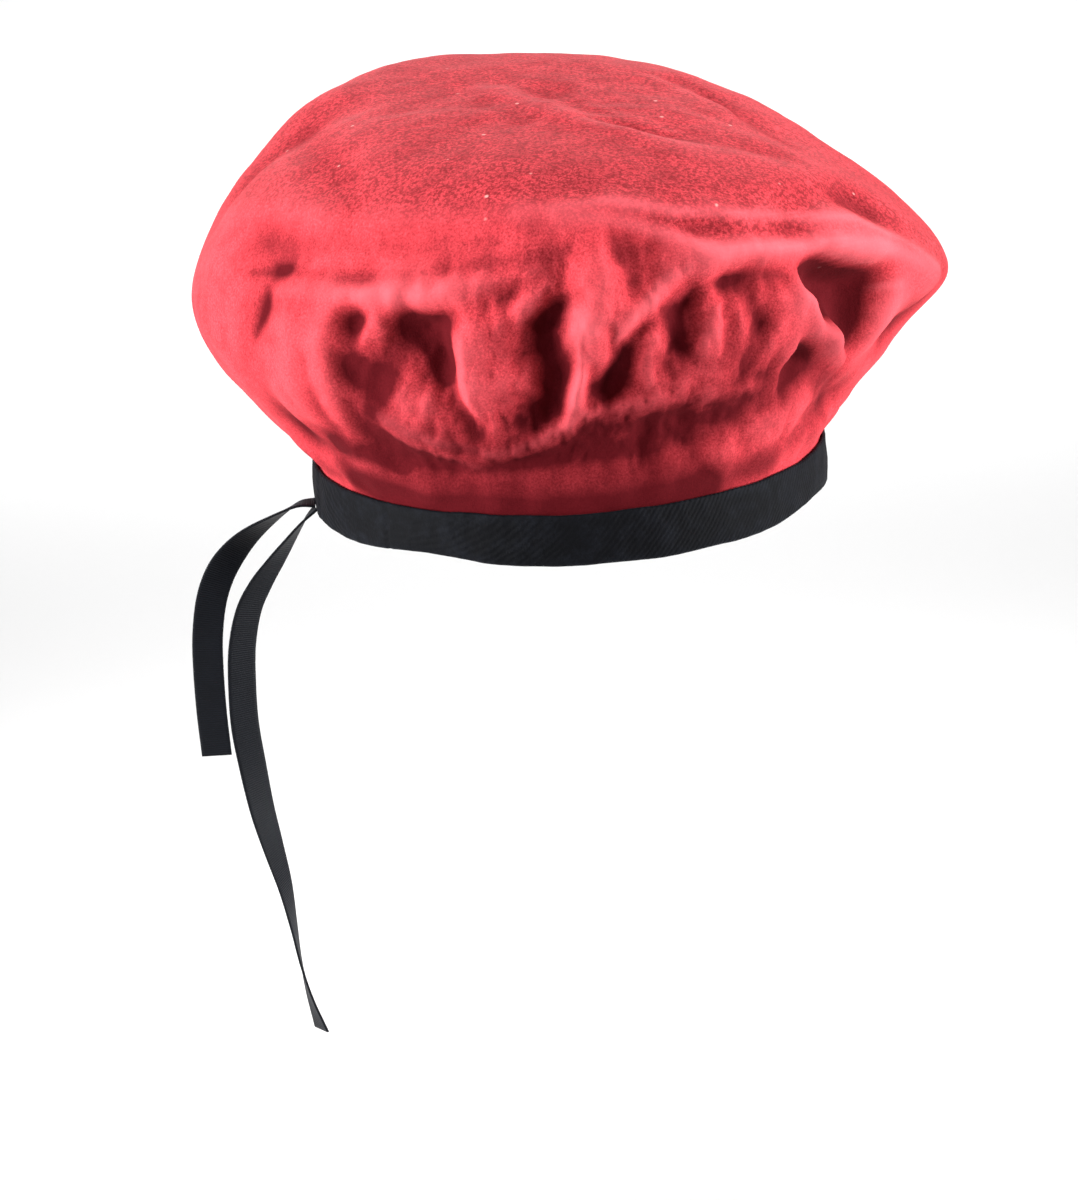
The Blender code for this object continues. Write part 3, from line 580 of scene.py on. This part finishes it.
def crown_shape(crown, binding, angle, station, edges):
    """Where the outer face of the cloth lies, with its folds, and how far it is folded there."""
    middle = np.array((0.0, 0.0, MIDDLE_SHARE * crown.height))
    place = crown_base(crown, binding, angle, station)
    way = unit(place - middle)
    above = np.maximum(LAST_STATION - station, 0.0)
    sewn = np.minimum(1.0, above) ** 1.5

    warped = unit(way + 0.018 * wandering(way, 6.5, 3.0) + 0.013 * wandering(way, 15.0, 8.0))
    slope = np.degrees(np.arcsin(way[:, 2]))
    around = np.degrees(angle) % 360
    crumpled = band(around, *CRUMPLED_AROUND) * band(slope, *CRUMPLED_UP)
    bulged = bulge_lift(warped, crown)
    between = np.clip(-bulged / (0.55 * crown.fold_depth), 0.0, 1.0)
    lift = (fold_lift(warped, FOLDS, crown)
            + (bulged + between * fold_lift(warped, PITS, crown)) * crumpled)
    lift = evened(lift, edges, 5)

    behind = np.exp(-((around - 95) / 52) ** 4) * np.exp(-((slope - 2) / 21) ** 4)
    creases = 1 - 2 * np.hypot(bumps(way * (1, 1, 0.75), 9.0, 24.0), 0.10)
    small = 1 - 2 * np.hypot(bumps(way * (1, 1, 0.6), 19.0, 5.0), 0.08)
    fine = 1 - 2 * np.hypot(bumps(warped * (1, 1, 0.8), 34.0, 12.0), 0.10)
    crumple = crown.crumple_depth * behind * (creases + 0.60 * small + 0.50 * fine)
    soft = 0.0011 * bumps(way, 3.2, 40.0) + 0.0004 * bumps(way, 9.0, 31.0)

    puckers = (np.cos(34 * angle + 1.5 * bumps(way, 5.0, 60.0))
               + 0.7 * np.cos(21 * angle + 2.0) + 0.5 * np.cos(53 * angle + 4.0))
    gather = crown.gather_depth * puckers * above * np.exp(1 - above / 0.42)
    place = place + way * ((lift + crumple + soft) * sewn + gather)[:, None]
    place[:, 2] += hem_rise(around, np.clip(place[:, 2] / binding.height, 0, 1))
    return place, lift + crumple


def build_crown(crown, binding, columns, rows, cloth):
    """The wool crown: one hollow shell, open at the head, whose edge runs down into the binding."""
    bm, angle, station = crown_grid(columns, rows)
    bm.verts.index_update()
    edges = np.array([(edge.verts[0].index, edge.verts[1].index) for edge in bm.edges])
    places, lift = crown_shape(crown, binding, angle, station, edges)
    for vert, place in zip(bm.verts, places):
        vert.co = place
    bmesh.ops.recalc_face_normals(bm, faces=bm.faces)
    bmesh.ops.smooth_vert(bm, verts=[v for v, s in zip(bm.verts, station) if s < LAST_STATION - 0.1],
                          factor=0.35, use_axis_x=True, use_axis_y=True, use_axis_z=True)
    bm.normal_update()

    lining = bmesh.ops.duplicate(bm, geom=bm.verts[:] + bm.edges[:] + bm.faces[:])["geom"]
    inner_faces = [item for item in lining if isinstance(item, bmesh.types.BMFace)]
    inner_verts = [item for item in lining if isinstance(item, bmesh.types.BMVert)]
    bm.verts.index_update()
    for vert in inner_verts:
        if vert.co.z <= binding.height + CLEARANCE:
            inwards = Vector((vert.co.x, vert.co.y, 0.0)).normalized()
        else:
            inwards = vert.normal
        vert.co -= inwards * crown.thickness
    free = [vert for vert in inner_verts if vert.co.z > 2 * binding.height]
    for _ in range(3):
        bmesh.ops.smooth_vert(bm, verts=free, factor=0.5, use_axis_x=True, use_axis_y=True,
                              use_axis_z=True)
    bmesh.ops.reverse_faces(bm, faces=inner_faces)
    bmesh.ops.bridge_loops(bm, edges=[edge for edge in bm.edges if edge.is_boundary])
    bmesh.ops.recalc_face_normals(bm, faces=bm.faces)
    made = finished("wool_crown", bm, cloth)
    way = unit(places - (0.0, 0.0, MIDDLE_SHARE * crown.height))
    slope = np.degrees(np.arcsin(np.clip(way[:, 2], -1, 1)))
    # Painted shade and painted highlight for the material: the cloth is darkened in hollows and along the
    # painted-shade table, and lightened on crests and along the painted-highlight table
    proud = (lift - evened(lift, edges, 90)) * ease(slope, -23, -13)
    hollow_shade_crest_light = np.maximum(-0.48 * proud / 0.003 - 0.24 * lift / 0.009, -0.14)
    folded = np.clip(shaded_in(way, PAINTED_SHADES, 0.0, crown) + hollow_shade_crest_light, 0, 1)
    raised = np.clip(0.6 * proud / 0.004 + shaded_in(way, PAINTED_HIGHLIGHTS, 0.95, crown), 0, 1)
    edge = np.interp(np.degrees(angle), *np.array(TOP_EDGE).T, period=360)
    write_attribute(made.data, "painted_shade_amount", np.tile(folded, 2))
    write_attribute(made.data, "grainy", np.tile(ease(slope - edge, -4.0, 4.0), 2))
    write_attribute(made.data, "raised", np.tile(raised, 2))
    return made


# ------------------------------------------------------------------ binding
def binding_outline(crown, binding):
    """A cut through the folded tape: offset from the opening, height, and which leaf it is on."""
    leaf = binding.thickness
    cloth_inside = leaf + CLEARANCE
    outside = cloth_inside + crown.thickness + CLEARANCE + leaf
    top = binding.height
    points = [(leaf / 2, 0.10 * leaf), (outside / 2, 0.0), (outside - leaf / 2, 0.10 * leaf),
              (outside, 0.8 * leaf)]
    points += [(outside, 0.8 * leaf + (top - 1.2 * leaf) * share) for share in (0.2, 0.4, 0.6, 0.8, 1.0)]
    points += [(outside - 0.15 * leaf, top - 0.1 * leaf), (outside - 0.5 * leaf, top),
               (outside - 0.85 * leaf, top - 0.1 * leaf)]
    points += [(outside - leaf, top * share) for share in (0.9, 0.5)] + [(outside - leaf, leaf)]
    points += [(leaf, leaf)] + [(leaf, top * share) for share in (0.5, 0.9)]
    points += [(0.85 * leaf, top - 0.1 * leaf), (0.5 * leaf, top), (0.15 * leaf, top - 0.1 * leaf)]
    points += [(0.0, 0.8 * leaf + (top - 1.2 * leaf) * share) for share in (0.9, 0.6, 0.3)]
    return points + [(0.0, 0.8 * leaf)]


def build_binding(crown, binding, columns, cloth):
    """The tape folded round the crown's edge, open upwards to take it."""
    bm = bmesh.new()
    base = binding.width / 2
    outline = binding_outline(crown, binding)
    ring = [bm.verts.new((base + offset, 0.0, height)) for offset, height in outline]
    edges = [bm.edges.new((ring[place - 1], ring[place])) for place in range(len(ring))]
    bmesh.ops.spin(bm, geom=ring + edges, cent=(0, 0, 0), axis=(0, 0, 1), angle=math.tau,
                   steps=columns, use_merge=True)
    bmesh.ops.remove_doubles(bm, verts=bm.verts, dist=1e-6)
    raw = np.array([vert.co for vert in bm.verts])
    turn = np.arctan2(raw[:, 1], raw[:, 0])
    angle = turn + BACK_CROWDING * np.cos(turn)
    offset = np.hypot(raw[:, 0], raw[:, 1]) - base
    outer = np.clip((offset - 2 * binding.thickness) / (2 * binding.thickness), 0.0, 1.0)
    around = np.stack((np.cos(angle), np.sin(angle), raw[:, 2] / 0.06), axis=-1)
    share = np.clip(raw[:, 2] / binding.height, 0.0, 1.0)

    puff = 0.00035 * bumps(around, 4.0, 11.0) + 0.00022 * bumps(around * (1, 1, 0.4), 17.0, 23.0)
    swell = 0.0005 * np.sin(math.pi * share)
    degrees = np.degrees(angle) % 360
    lap = np.clip((22 - degrees) / 0.9, 0, 1) * np.clip((degrees + 20) / 8, 0, 1)
    seam = -0.0006 * np.exp(-((degrees - 52.5) / 0.45) ** 2)
    offset = offset + outer * (puff + swell + 0.0005 * lap * (degrees < 90) + seam)
    wave = hem_rise(degrees, share) + 0.0005 * bumps(around, 5.0, 77.0) * share ** 2 + 0.0003 * bumps(around, 6.0, 91.0) * (1 - share) ** 2
    reach = opening_reach(binding, angle, offset)
    height = raw[:, 2] + wave
    for vert, x, y, z in zip(bm.verts, reach * np.cos(angle), reach * np.sin(angle), height):
        vert.co = (x, y, z)
    bmesh.ops.recalc_face_normals(bm, faces=bm.faces)
    made = finished("tape_binding", bm, cloth)
    write_attribute(made.data, "edge", np.abs(2 * share - 1) ** 6)
    return made


# ------------------------------------------------------------------ ties
def tie_route(points, steps):
    """Points on a smooth curve through a tie's own points, with the turn at each."""
    rows = [Vector(point) for point in points]
    rows = [2 * rows[0] - rows[1]] + rows + [2 * rows[-1] - rows[-2]]
    spans = len(points) - 1
    route = []
    for step in range(steps + 1):
        place = step * spans / steps
        first = min(int(place), spans - 1)
        route.append(blend(*rows[first:first + 4], place - first))
    return route


def ribbon_cut(route, step, tie, outline):
    """The ribbon's outline at one step of its route."""
    row = route[step]
    along = (route[min(step + 1, len(route) - 1)].xyz - route[max(step - 1, 0)].xyz).normalized()
    level = (Vector((0, 1, 0)) - along * along.y).normalized()
    upright = along.cross(level)
    turn = math.radians(row.w)
    across = level * math.cos(turn) + upright * math.sin(turn)
    through = along.cross(across).normalized()
    return [row.xyz + across * (tie.width * side) + through * (tie.thickness * rise)
            for side, rise in outline]


def build_tie(name, points, tie, steps, cloth):
    """A flat woven ribbon that hangs from the binding, cut square at its end."""
    sides = (-0.5, -0.47, -0.38, -0.25, -0.12, 0.0, 0.12, 0.25, 0.38, 0.47, 0.5)
    face = [(side, 0.5 - 0.25 * (abs(side) > 0.49)) for side in sides]
    outline = face + [(side, -rise) for side, rise in reversed(face)]
    route = tie_route(points, steps)
    bm = bmesh.new()
    along_of = bm.verts.layers.float.new("along")
    side_of = bm.verts.layers.float.new("side")
    loop = [bm.verts.new(place) for place in ribbon_cut(route, 0, tie, outline)]
    for vert, (side, _) in zip(loop, outline):
        vert[side_of] = side
    edges = [bm.edges.new((loop[place - 1], loop[place])) for place in range(len(loop))]
    bm.faces.new(loop)
    travelled = 0.0
    for step in range(1, len(route)):
        grown = bmesh.ops.extrude_edge_only(bm, edges=edges)["geom"]
        new_edges = {item for item in grown if isinstance(item, bmesh.types.BMEdge)}
        follow = {}
        for vert in loop:
            for edge in vert.link_edges:
                other = edge.other_vert(vert)
                if edge in new_edges or edge in edges:
                    continue
                if other not in loop and any(link in new_edges for link in other.link_edges):
                    follow[vert] = other
        loop = [follow[vert] for vert in loop]
        travelled += (route[step].xyz - route[step - 1].xyz).length
        for vert, place, (side, _) in zip(loop, ribbon_cut(route, step, tie, outline), outline):
            vert.co = place
            vert[along_of] = travelled
            vert[side_of] = side
        edges = [bm.edges.get((loop[place - 1], loop[place])) for place in range(len(loop))]
    bm.faces.new(loop)
    bmesh.ops.recalc_face_normals(bm, faces=bm.faces)
    made = finished(name, bm, cloth)
    return made, [row.xyz for row in route], travelled


# ------------------------------------------------------------------ materials
def new_material(name):
    """A material with a bare Principled shader."""
    made = bpy.data.materials.new(name)
    made.use_nodes = True
    return made, made.node_tree, made.node_tree.nodes["Principled BSDF"]


def texture(tree, kind, place, **inputs):
    """A procedural texture that reads a place socket."""
    made = tree.nodes.new(kind)
    tree.links.new(place, made.inputs["Vector"])
    for name, value in inputs.items():
        made.inputs[name.replace("_", " ")].default_value = value
    return made


def spread(tree, value, low, high, start, end):
    """Map a value from low..high to start..end and keep it there."""
    made = tree.nodes.new("ShaderNodeMapRange")
    tree.links.new(value, made.inputs["Value"])
    for name, number in (("From Min", low), ("From Max", high), ("To Min", start), ("To Max", end)):
        made.inputs[name].default_value = number
    return made.outputs["Result"]


def mixed(tree, factor, first, second, kind="MIX"):
    """Mix two colours, each a colour or a socket, by a factor socket or number."""
    made = tree.nodes.new("ShaderNodeMix")
    made.data_type = "RGBA"
    made.blend_type = kind
    for socket, value in ((made.inputs[0], factor), (made.inputs[6], first), (made.inputs[7], second)):
        if isinstance(value, bpy.types.NodeSocket):
            tree.links.new(value, socket)
        elif isinstance(value, (int, float)):
            socket.default_value = value
        else:
            socket.default_value = (*value, 1.0)
    return made.outputs[2]


def calculated(tree, operation, first, second):
    """One step of arithmetic on two values, each a socket or a number."""
    made = tree.nodes.new("ShaderNodeMath")
    made.operation = operation
    for socket, value in zip(made.inputs, (first, second)):
        if isinstance(value, bpy.types.NodeSocket):
            tree.links.new(value, socket)
        else:
            socket.default_value = value
    return made.outputs[0]


def attribute(tree, name):
    """A number kept on the mesh."""
    made = tree.nodes.new("ShaderNodeAttribute")
    made.attribute_name = name
    return made.outputs["Fac"]


def bumped(tree, shader, layers):
    """Give a shader relief from several heights, each with a strength and a distance."""
    last = None
    for height, strength, distance in layers:
        made = tree.nodes.new("ShaderNodeBump")
        made.inputs["Strength"].default_value = strength
        made.inputs["Distance"].default_value = distance
        tree.links.new(height, made.inputs["Height"])
        if last:
            tree.links.new(last, made.inputs["Normal"])
        last = made.outputs["Normal"]
    tree.links.new(last, shader.inputs["Normal"])


def wool_material(crown):
    """Brushed wool: speckled nap, painted shade in the folds, painted highlights on fold crests and rims, and
    a soft sheen.
    """
    made, tree, shader = new_material("red_wool")
    place = tree.nodes.new("ShaderNodeTexCoord").outputs["Object"]
    speckle = texture(tree, "ShaderNodeTexNoise", place, Scale=1500.0, Detail=3.0, Roughness=0.65)
    fibres = texture(tree, "ShaderNodeTexNoise", place, Scale=520.0, Detail=4.0, Roughness=0.7,
                     Distortion=1.2)
    mottle = texture(tree, "ShaderNodeTexNoise", place, Scale=120.0, Detail=3.0, Roughness=0.6)
    cloud = texture(tree, "ShaderNodeTexNoise", place, Scale=26.0, Detail=2.0)
    wool = tuple(crown.wool)
    # The deep colour is painted shade in the folds, and the random mottle leans towards it too
    deep = tuple(crown.mottle_and_shade_wool)
    dark = tuple(0.52 * part for part in wool)
    bright = (1.25 * wool[0], 1.5 * wool[1], 1.5 * wool[2])
    base = mixed(tree, spread(tree, speckle.outputs["Fac"], 0.36, 0.66, 0.0, 1.0), dark, bright)
    base = mixed(tree, spread(tree, fibres.outputs["Fac"], 0.42, 0.70, 0.0, 0.45), base, wool)
    base = mixed(tree, spread(tree, mottle.outputs["Fac"], 0.42, 0.66, 0.0, 0.34), base, deep)
    base = mixed(tree, spread(tree, cloud.outputs["Fac"], 0.35, 0.65, 0.0, 0.18), base, wool)
    # Painted shade: how far the cloth is darkened towards the deep colour where the folds would lie in shadow
    folded = spread(tree, attribute(tree, "painted_shade_amount"), 0.05, 0.85, 0.0, 0.95)
    # Painted highlight colour, mixed in on fold crests and rims
    highlight_colour = (1.2 * wool[0], 2.8 * wool[1], 2.6 * wool[2])
    grain = texture(tree, "ShaderNodeTexNoise", place, Scale=800.0, Detail=2.0, Roughness=0.75)
    speck = calculated(tree, "MULTIPLY", attribute(tree, "grainy"),
                       spread(tree, grain.outputs["Fac"], 0.44, 0.58, 0.0, 0.90))
    base = mixed(tree, speck, base, tuple(0.34 * part for part in wool))
    base = mixed(tree, spread(tree, attribute(tree, "raised"), 0.0, 1.0, 0.0, 0.75), base, highlight_colour)
    base = mixed(tree, folded, base, deep)
    lint = texture(tree, "ShaderNodeTexVoronoi", place, Scale=90.0)
    picked = tree.nodes.new("ShaderNodeSeparateColor")
    tree.links.new(lint.outputs["Color"], picked.inputs[0])
    fluff = calculated(tree, "MULTIPLY", spread(tree, lint.outputs["Distance"], 0.035, 0.075, 0.6, 0.0),
                       spread(tree, picked.outputs[0], 0.60, 0.62, 0.0, 1.0))
    base = mixed(tree, calculated(tree, "MULTIPLY", fluff, attribute(tree, "grainy")), base,
                 (0.80, 0.42, 0.38))
    tree.links.new(base, shader.inputs["Base Color"])
    shader.inputs["Roughness"].default_value = 0.92
    shader.inputs["Specular IOR Level"].default_value = 0.05
    # Less sheen where shade is painted
    tree.links.new(spread(tree, attribute(tree, "painted_shade_amount"), 0.0, 0.4, 0.20, 0.0),
                   shader.inputs["Sheen Weight"])
    shader.inputs["Sheen Roughness"].default_value = 0.40
    shader.inputs["Sheen Tint"].default_value = (*crown.nap, 1.0)
    bumped(tree, shader, ((mottle.outputs["Fac"], 0.30, 0.0010), (fibres.outputs["Fac"], 0.35, 0.0005),
                          (speckle.outputs["Fac"], 0.35, 0.0003)))
    return made


def tape_material(binding):
    """Black twill tape, rubbed grey along its edges."""
    made, tree, shader = new_material("black_tape")
    place = tree.nodes.new("ShaderNodeTexCoord").outputs["Object"]
    weave = texture(tree, "ShaderNodeTexNoise", place, Scale=1900.0, Detail=2.0, Roughness=0.6)
    mottle = texture(tree, "ShaderNodeTexNoise", place, Scale=170.0, Detail=3.0, Roughness=0.65)
    twill = tree.nodes.new("ShaderNodeTexWave")
    twill.bands_direction = "DIAGONAL"
    tree.links.new(place, twill.inputs["Vector"])
    twill.inputs["Scale"].default_value = 260.0
    twill.inputs["Distortion"].default_value = 1.5
    twill.inputs["Detail"].default_value = 1.0
    rubbed = calculated(tree, "ADD", spread(tree, mottle.outputs["Fac"], 0.45, 0.72, 0.0, 0.7),
                        calculated(tree, "MULTIPLY", attribute(tree, "edge"), 0.35))
    base = mixed(tree, rubbed, tuple(binding.tape), tuple(binding.worn_tape))
    base = mixed(tree, spread(tree, weave.outputs["Fac"], 0.40, 0.62, 0.0, 0.5), base,
                 tuple(0.5 * part for part in binding.tape))
    tree.links.new(base, shader.inputs["Base Color"])
    shader.inputs["Roughness"].default_value = 0.78
    shader.inputs["Specular IOR Level"].default_value = 0.08
    shader.inputs["Sheen Weight"].default_value = 0.02
    shader.inputs["Sheen Roughness"].default_value = 0.4
    shader.inputs["Sheen Tint"].default_value = (0.75, 0.82, 1.0, 1.0)
    bumped(tree, shader, ((mottle.outputs["Fac"], 0.5, 0.0010), (twill.outputs["Fac"], 0.35, 0.0003),
                          (weave.outputs["Fac"], 0.4, 0.0003)))
    return made


def ribbon_material(tie):
    """Black ribbon with fine ribs across it and a soft satin gloss."""
    made, tree, shader = new_material("black_ribbon")
    place = tree.nodes.new("ShaderNodeTexCoord").outputs["Object"]
    along, side = attribute(tree, "along"), attribute(tree, "side")
    joined = tree.nodes.new("ShaderNodeCombineXYZ")
    tree.links.new(along, joined.inputs["X"])
    tree.links.new(calculated(tree, "MULTIPLY", side, 0.010), joined.inputs["Y"])
    ribs = tree.nodes.new("ShaderNodeTexWave")
    tree.links.new(joined.outputs[0], ribs.inputs["Vector"])
    ribs.inputs["Scale"].default_value = 420.0
    ribs.inputs["Distortion"].default_value = 0.6
    weave = texture(tree, "ShaderNodeTexNoise", place, Scale=1600.0, Detail=2.0)
    mottle = texture(tree, "ShaderNodeTexNoise", place, Scale=140.0, Detail=2.0)
    base = mixed(tree, ribs.outputs["Fac"], tuple(tie.ribbon), tuple(tie.ribbon_rib))
    base = mixed(tree, spread(tree, mottle.outputs["Fac"], 0.4, 0.7, 0.0, 0.4), base, tuple(tie.ribbon))
    tree.links.new(base, shader.inputs["Base Color"])
    shader.inputs["Roughness"].default_value = 0.55
    shader.inputs["Specular IOR Level"].default_value = 0.09
    shader.inputs["Sheen Weight"].default_value = 0.02
    shader.inputs["Sheen Tint"].default_value = (0.75, 0.82, 1.0, 1.0)
    bumped(tree, shader, ((ribs.outputs["Fac"], 0.5, 0.0002), (weave.outputs["Fac"], 0.3, 0.0002)))
    return made


def paper_material(stage):
    """Matt pale paper with the faintest tooth."""
    made, tree, shader = new_material("studio_paper")
    place = tree.nodes.new("ShaderNodeTexCoord").outputs["Object"]
    tooth = texture(tree, "ShaderNodeTexNoise", place, Scale=300.0, Detail=2.0)
    pale = tuple(stage.paper)
    tree.links.new(mixed(tree, tooth.outputs["Fac"], pale, tuple(0.985 * part for part in pale)),
                   shader.inputs["Base Color"])
    shader.inputs["Roughness"].default_value = 0.9
    shader.inputs["Specular IOR Level"].default_value = 0.2
    shader.inputs["Emission Color"].default_value = (1.0, 1.0, 1.0, 1.0)
    shader.inputs["Emission Strength"].default_value = stage.glow
    return made


# ------------------------------------------------------------------ stage
def build_paper(stage, cloth):
    """A floor of pale paper that curves up into a backdrop behind the beret."""
    floor, bend, near, far, half, tall = -stage.floor_drop, 0.9, 1.6, -1.6, 3.0, 2.6
    bm = bmesh.new()
    ends = [bm.verts.new((side * half, near, floor)) for side in (-1, 1)]
    edge = bm.edges.new(ends)
    grown = bmesh.ops.extrude_edge_only(bm, edges=[edge])["geom"]
    ends = [item for item in grown if isinstance(item, bmesh.types.BMVert)]
    edge = next(item for item in grown if isinstance(item, bmesh.types.BMEdge) and
                all(vert in ends for vert in item.verts))
    bmesh.ops.translate(bm, verts=ends, vec=(0, far - near, 0))
    last = bmesh.ops.spin(bm, geom=ends + [edge], cent=(0, far, floor + bend), axis=(1, 0, 0),
                          angle=-math.pi / 2, steps=24)["geom_last"]
    edge = next(item for item in last if isinstance(item, bmesh.types.BMEdge))
    grown = bmesh.ops.extrude_edge_only(bm, edges=[edge])["geom"]
    bmesh.ops.translate(bm, verts=[item for item in grown if isinstance(item, bmesh.types.BMVert)],
                        vec=(0, 0, tall))
    bmesh.ops.recalc_face_normals(bm, faces=bm.faces)
    return finished("studio_paper", bm, cloth)


def add_soft_box(name, place, aim, size, spread, power):
    """A square area light that faces a point and lights no more than its spread."""
    lamp = bpy.data.lights.new(name, "AREA")
    lamp.shape = "SQUARE"
    lamp.size = size
    lamp.spread = spread
    lamp.energy = power
    made = bpy.data.objects.new(name, lamp)
    made.location = place
    made.rotation_euler = (Vector(aim) - Vector(place)).to_track_quat("-Z", "Y").to_euler()
    bpy.context.scene.collection.objects.link(made)


def add_camera():
    """A camera behind and a little above the beret, as in the photograph."""
    aim = Vector((0.0127, 0.013, -0.0368))
    pitch, roll, distance = math.radians(17.1), math.radians(3.4), 1.300
    back = Vector((0, math.cos(pitch), math.sin(pitch)))
    level = Vector((-1, 0, 0))
    upright = back.cross(level)
    right = level * math.cos(roll) - upright * math.sin(roll)
    above = level * math.sin(roll) + upright * math.cos(roll)
    view = bpy.data.cameras.new("studio_camera")
    view.sensor_fit = "VERTICAL"
    view.sensor_height = 36.0
    view.lens = 119.6
    view.clip_end = 20.0
    made = bpy.data.objects.new("studio_camera", view)
    turned = Matrix((right, above, back)).transposed().to_4x4()
    turned.translation = aim + back * distance
    made.matrix_world = turned
    bpy.context.scene.collection.objects.link(made)
    bpy.context.scene.camera = made


# ------------------------------------------------------------------ operators
class BERET_OT_crown(bpy.types.Operator):
    """Build the crumpled wool crown"""
    bl_idname = "beret.crown"
    bl_label = "Wool Crown"

    def execute(self, context):
        crown, binding = context.scene.beret_crown, context.scene.beret_binding
        made = build_crown(crown, binding, 400, 94, wool_material(crown))
        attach(made, BODY)
        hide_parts("crown")
        return {"FINISHED"}


class BERET_OT_binding(bpy.types.Operator):
    """Build the black tape bound round the head opening"""
    bl_idname = "beret.binding"
    bl_label = "Tape Binding"

    def execute(self, context):
        crown, binding = context.scene.beret_crown, context.scene.beret_binding
        made = build_binding(crown, binding, 400, tape_material(binding))
        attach(made, BODY)
        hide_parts("binding")
        return {"FINISHED"}


class BERET_OT_ties(bpy.types.Operator):
    """Build the two ribbon ties"""
    bl_idname = "beret.ties"
    bl_label = "Ribbon Ties"

    def execute(self, context):
        tie = context.scene.beret_ties
        cloth = ribbon_material(tie)
        for name, node, points in (("short_ribbon", "tie_short", SHORT_TIE),
                                   ("long_ribbon", "tie_long", LONG_TIE)):
            made, route, measured = build_tie(name, points, tie, 160, cloth)
            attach(made, BODY)
            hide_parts(node)
        return {"FINISHED"}


class BERET_OT_stage(bpy.types.Operator):
    """Build the floor, the backdrop, the lights and the camera"""
    bl_idname = "beret.stage"
    bl_label = "Studio"

    def execute(self, context):
        stage = context.scene.beret_stage
        build_paper(stage, paper_material(stage))
        aim = (0.0, 0.0, 0.05)
        add_soft_box("left_soft_box", (1.15, 0.34, 0.09), aim, 0.6, 0.9, stage.side_light)
        add_soft_box("key_soft_box", (0.30, 0.65, 1.15), aim, 0.35, 0.8, stage.key_light)
        add_soft_box("right_soft_box", (-1.17, 0.25, 0.13), aim, 0.6, 0.9, stage.side_light)
        add_soft_box("front_soft_box", (0.35, 1.15, 0.35), aim, 0.5, 0.8, stage.front_light)
        add_soft_box("top_soft_box", (-0.05, -0.05, 1.25), aim, 0.5, 0.9, stage.top_light)
        add_soft_box("paper_soft_box", (0.0, -1.5, 1.5), (0.0, -1.45, 0.0), 1.2, 1.7, stage.paper_light)
        world = bpy.data.worlds.new("studio_surround")
        world.use_nodes = True
        world.node_tree.nodes["Background"].inputs["Strength"].default_value = stage.surround
        world.node_tree.nodes["Background"].inputs["Color"].default_value = (1.0, 1.0, 1.0, 1.0)
        context.scene.world = world
        context.scene.view_settings.view_transform = "Standard"
        add_camera()
        return {"FINISHED"}


class BERET_PT_build(bpy.types.Panel):
    """Lists the steps that build the beret and their settings"""
    bl_idname = "BERET_PT_build"
    bl_label = "Wool Beret"
    bl_space_type = "VIEW_3D"
    bl_region_type = "UI"
    bl_category = "Beret"

    def draw(self, context):
        for operator, group in STEPS:
            box = self.layout.box()
            box.operator(operator.bl_idname)
            settings = getattr(context.scene, group)
            for name in settings.__annotations__:
                box.prop(settings, name)


STEPS = (
    (BERET_OT_stage, "beret_stage"),
    (BERET_OT_ties, "beret_ties"),
    (BERET_OT_binding, "beret_binding"),
    (BERET_OT_crown, "beret_crown"),
)
GROUPS = (
    ("beret_stage", StageSettings),
    ("beret_ties", TieSettings),
    ("beret_binding", BindingSettings),
    ("beret_crown", CrownSettings),
)


def register():
    for name, group in GROUPS:
        bpy.utils.register_class(group)
        setattr(bpy.types.Scene, name, PointerProperty(type=group))
    for operator, _ in STEPS:
        bpy.utils.register_class(operator)
    bpy.utils.register_class(BERET_PT_build)


def unregister():
    bpy.utils.unregister_class(BERET_PT_build)
    for operator, _ in reversed(STEPS):
        bpy.utils.unregister_class(operator)
    for name, group in reversed(GROUPS):
        delattr(bpy.types.Scene, name)
        bpy.utils.unregister_class(group)


def main():
    """Build every piece in order."""
    register()
    bpy.ops.beret.stage()
    bpy.ops.beret.ties()
    bpy.ops.beret.binding()
    bpy.ops.beret.crown()


if __name__ == "__main__":
    main()
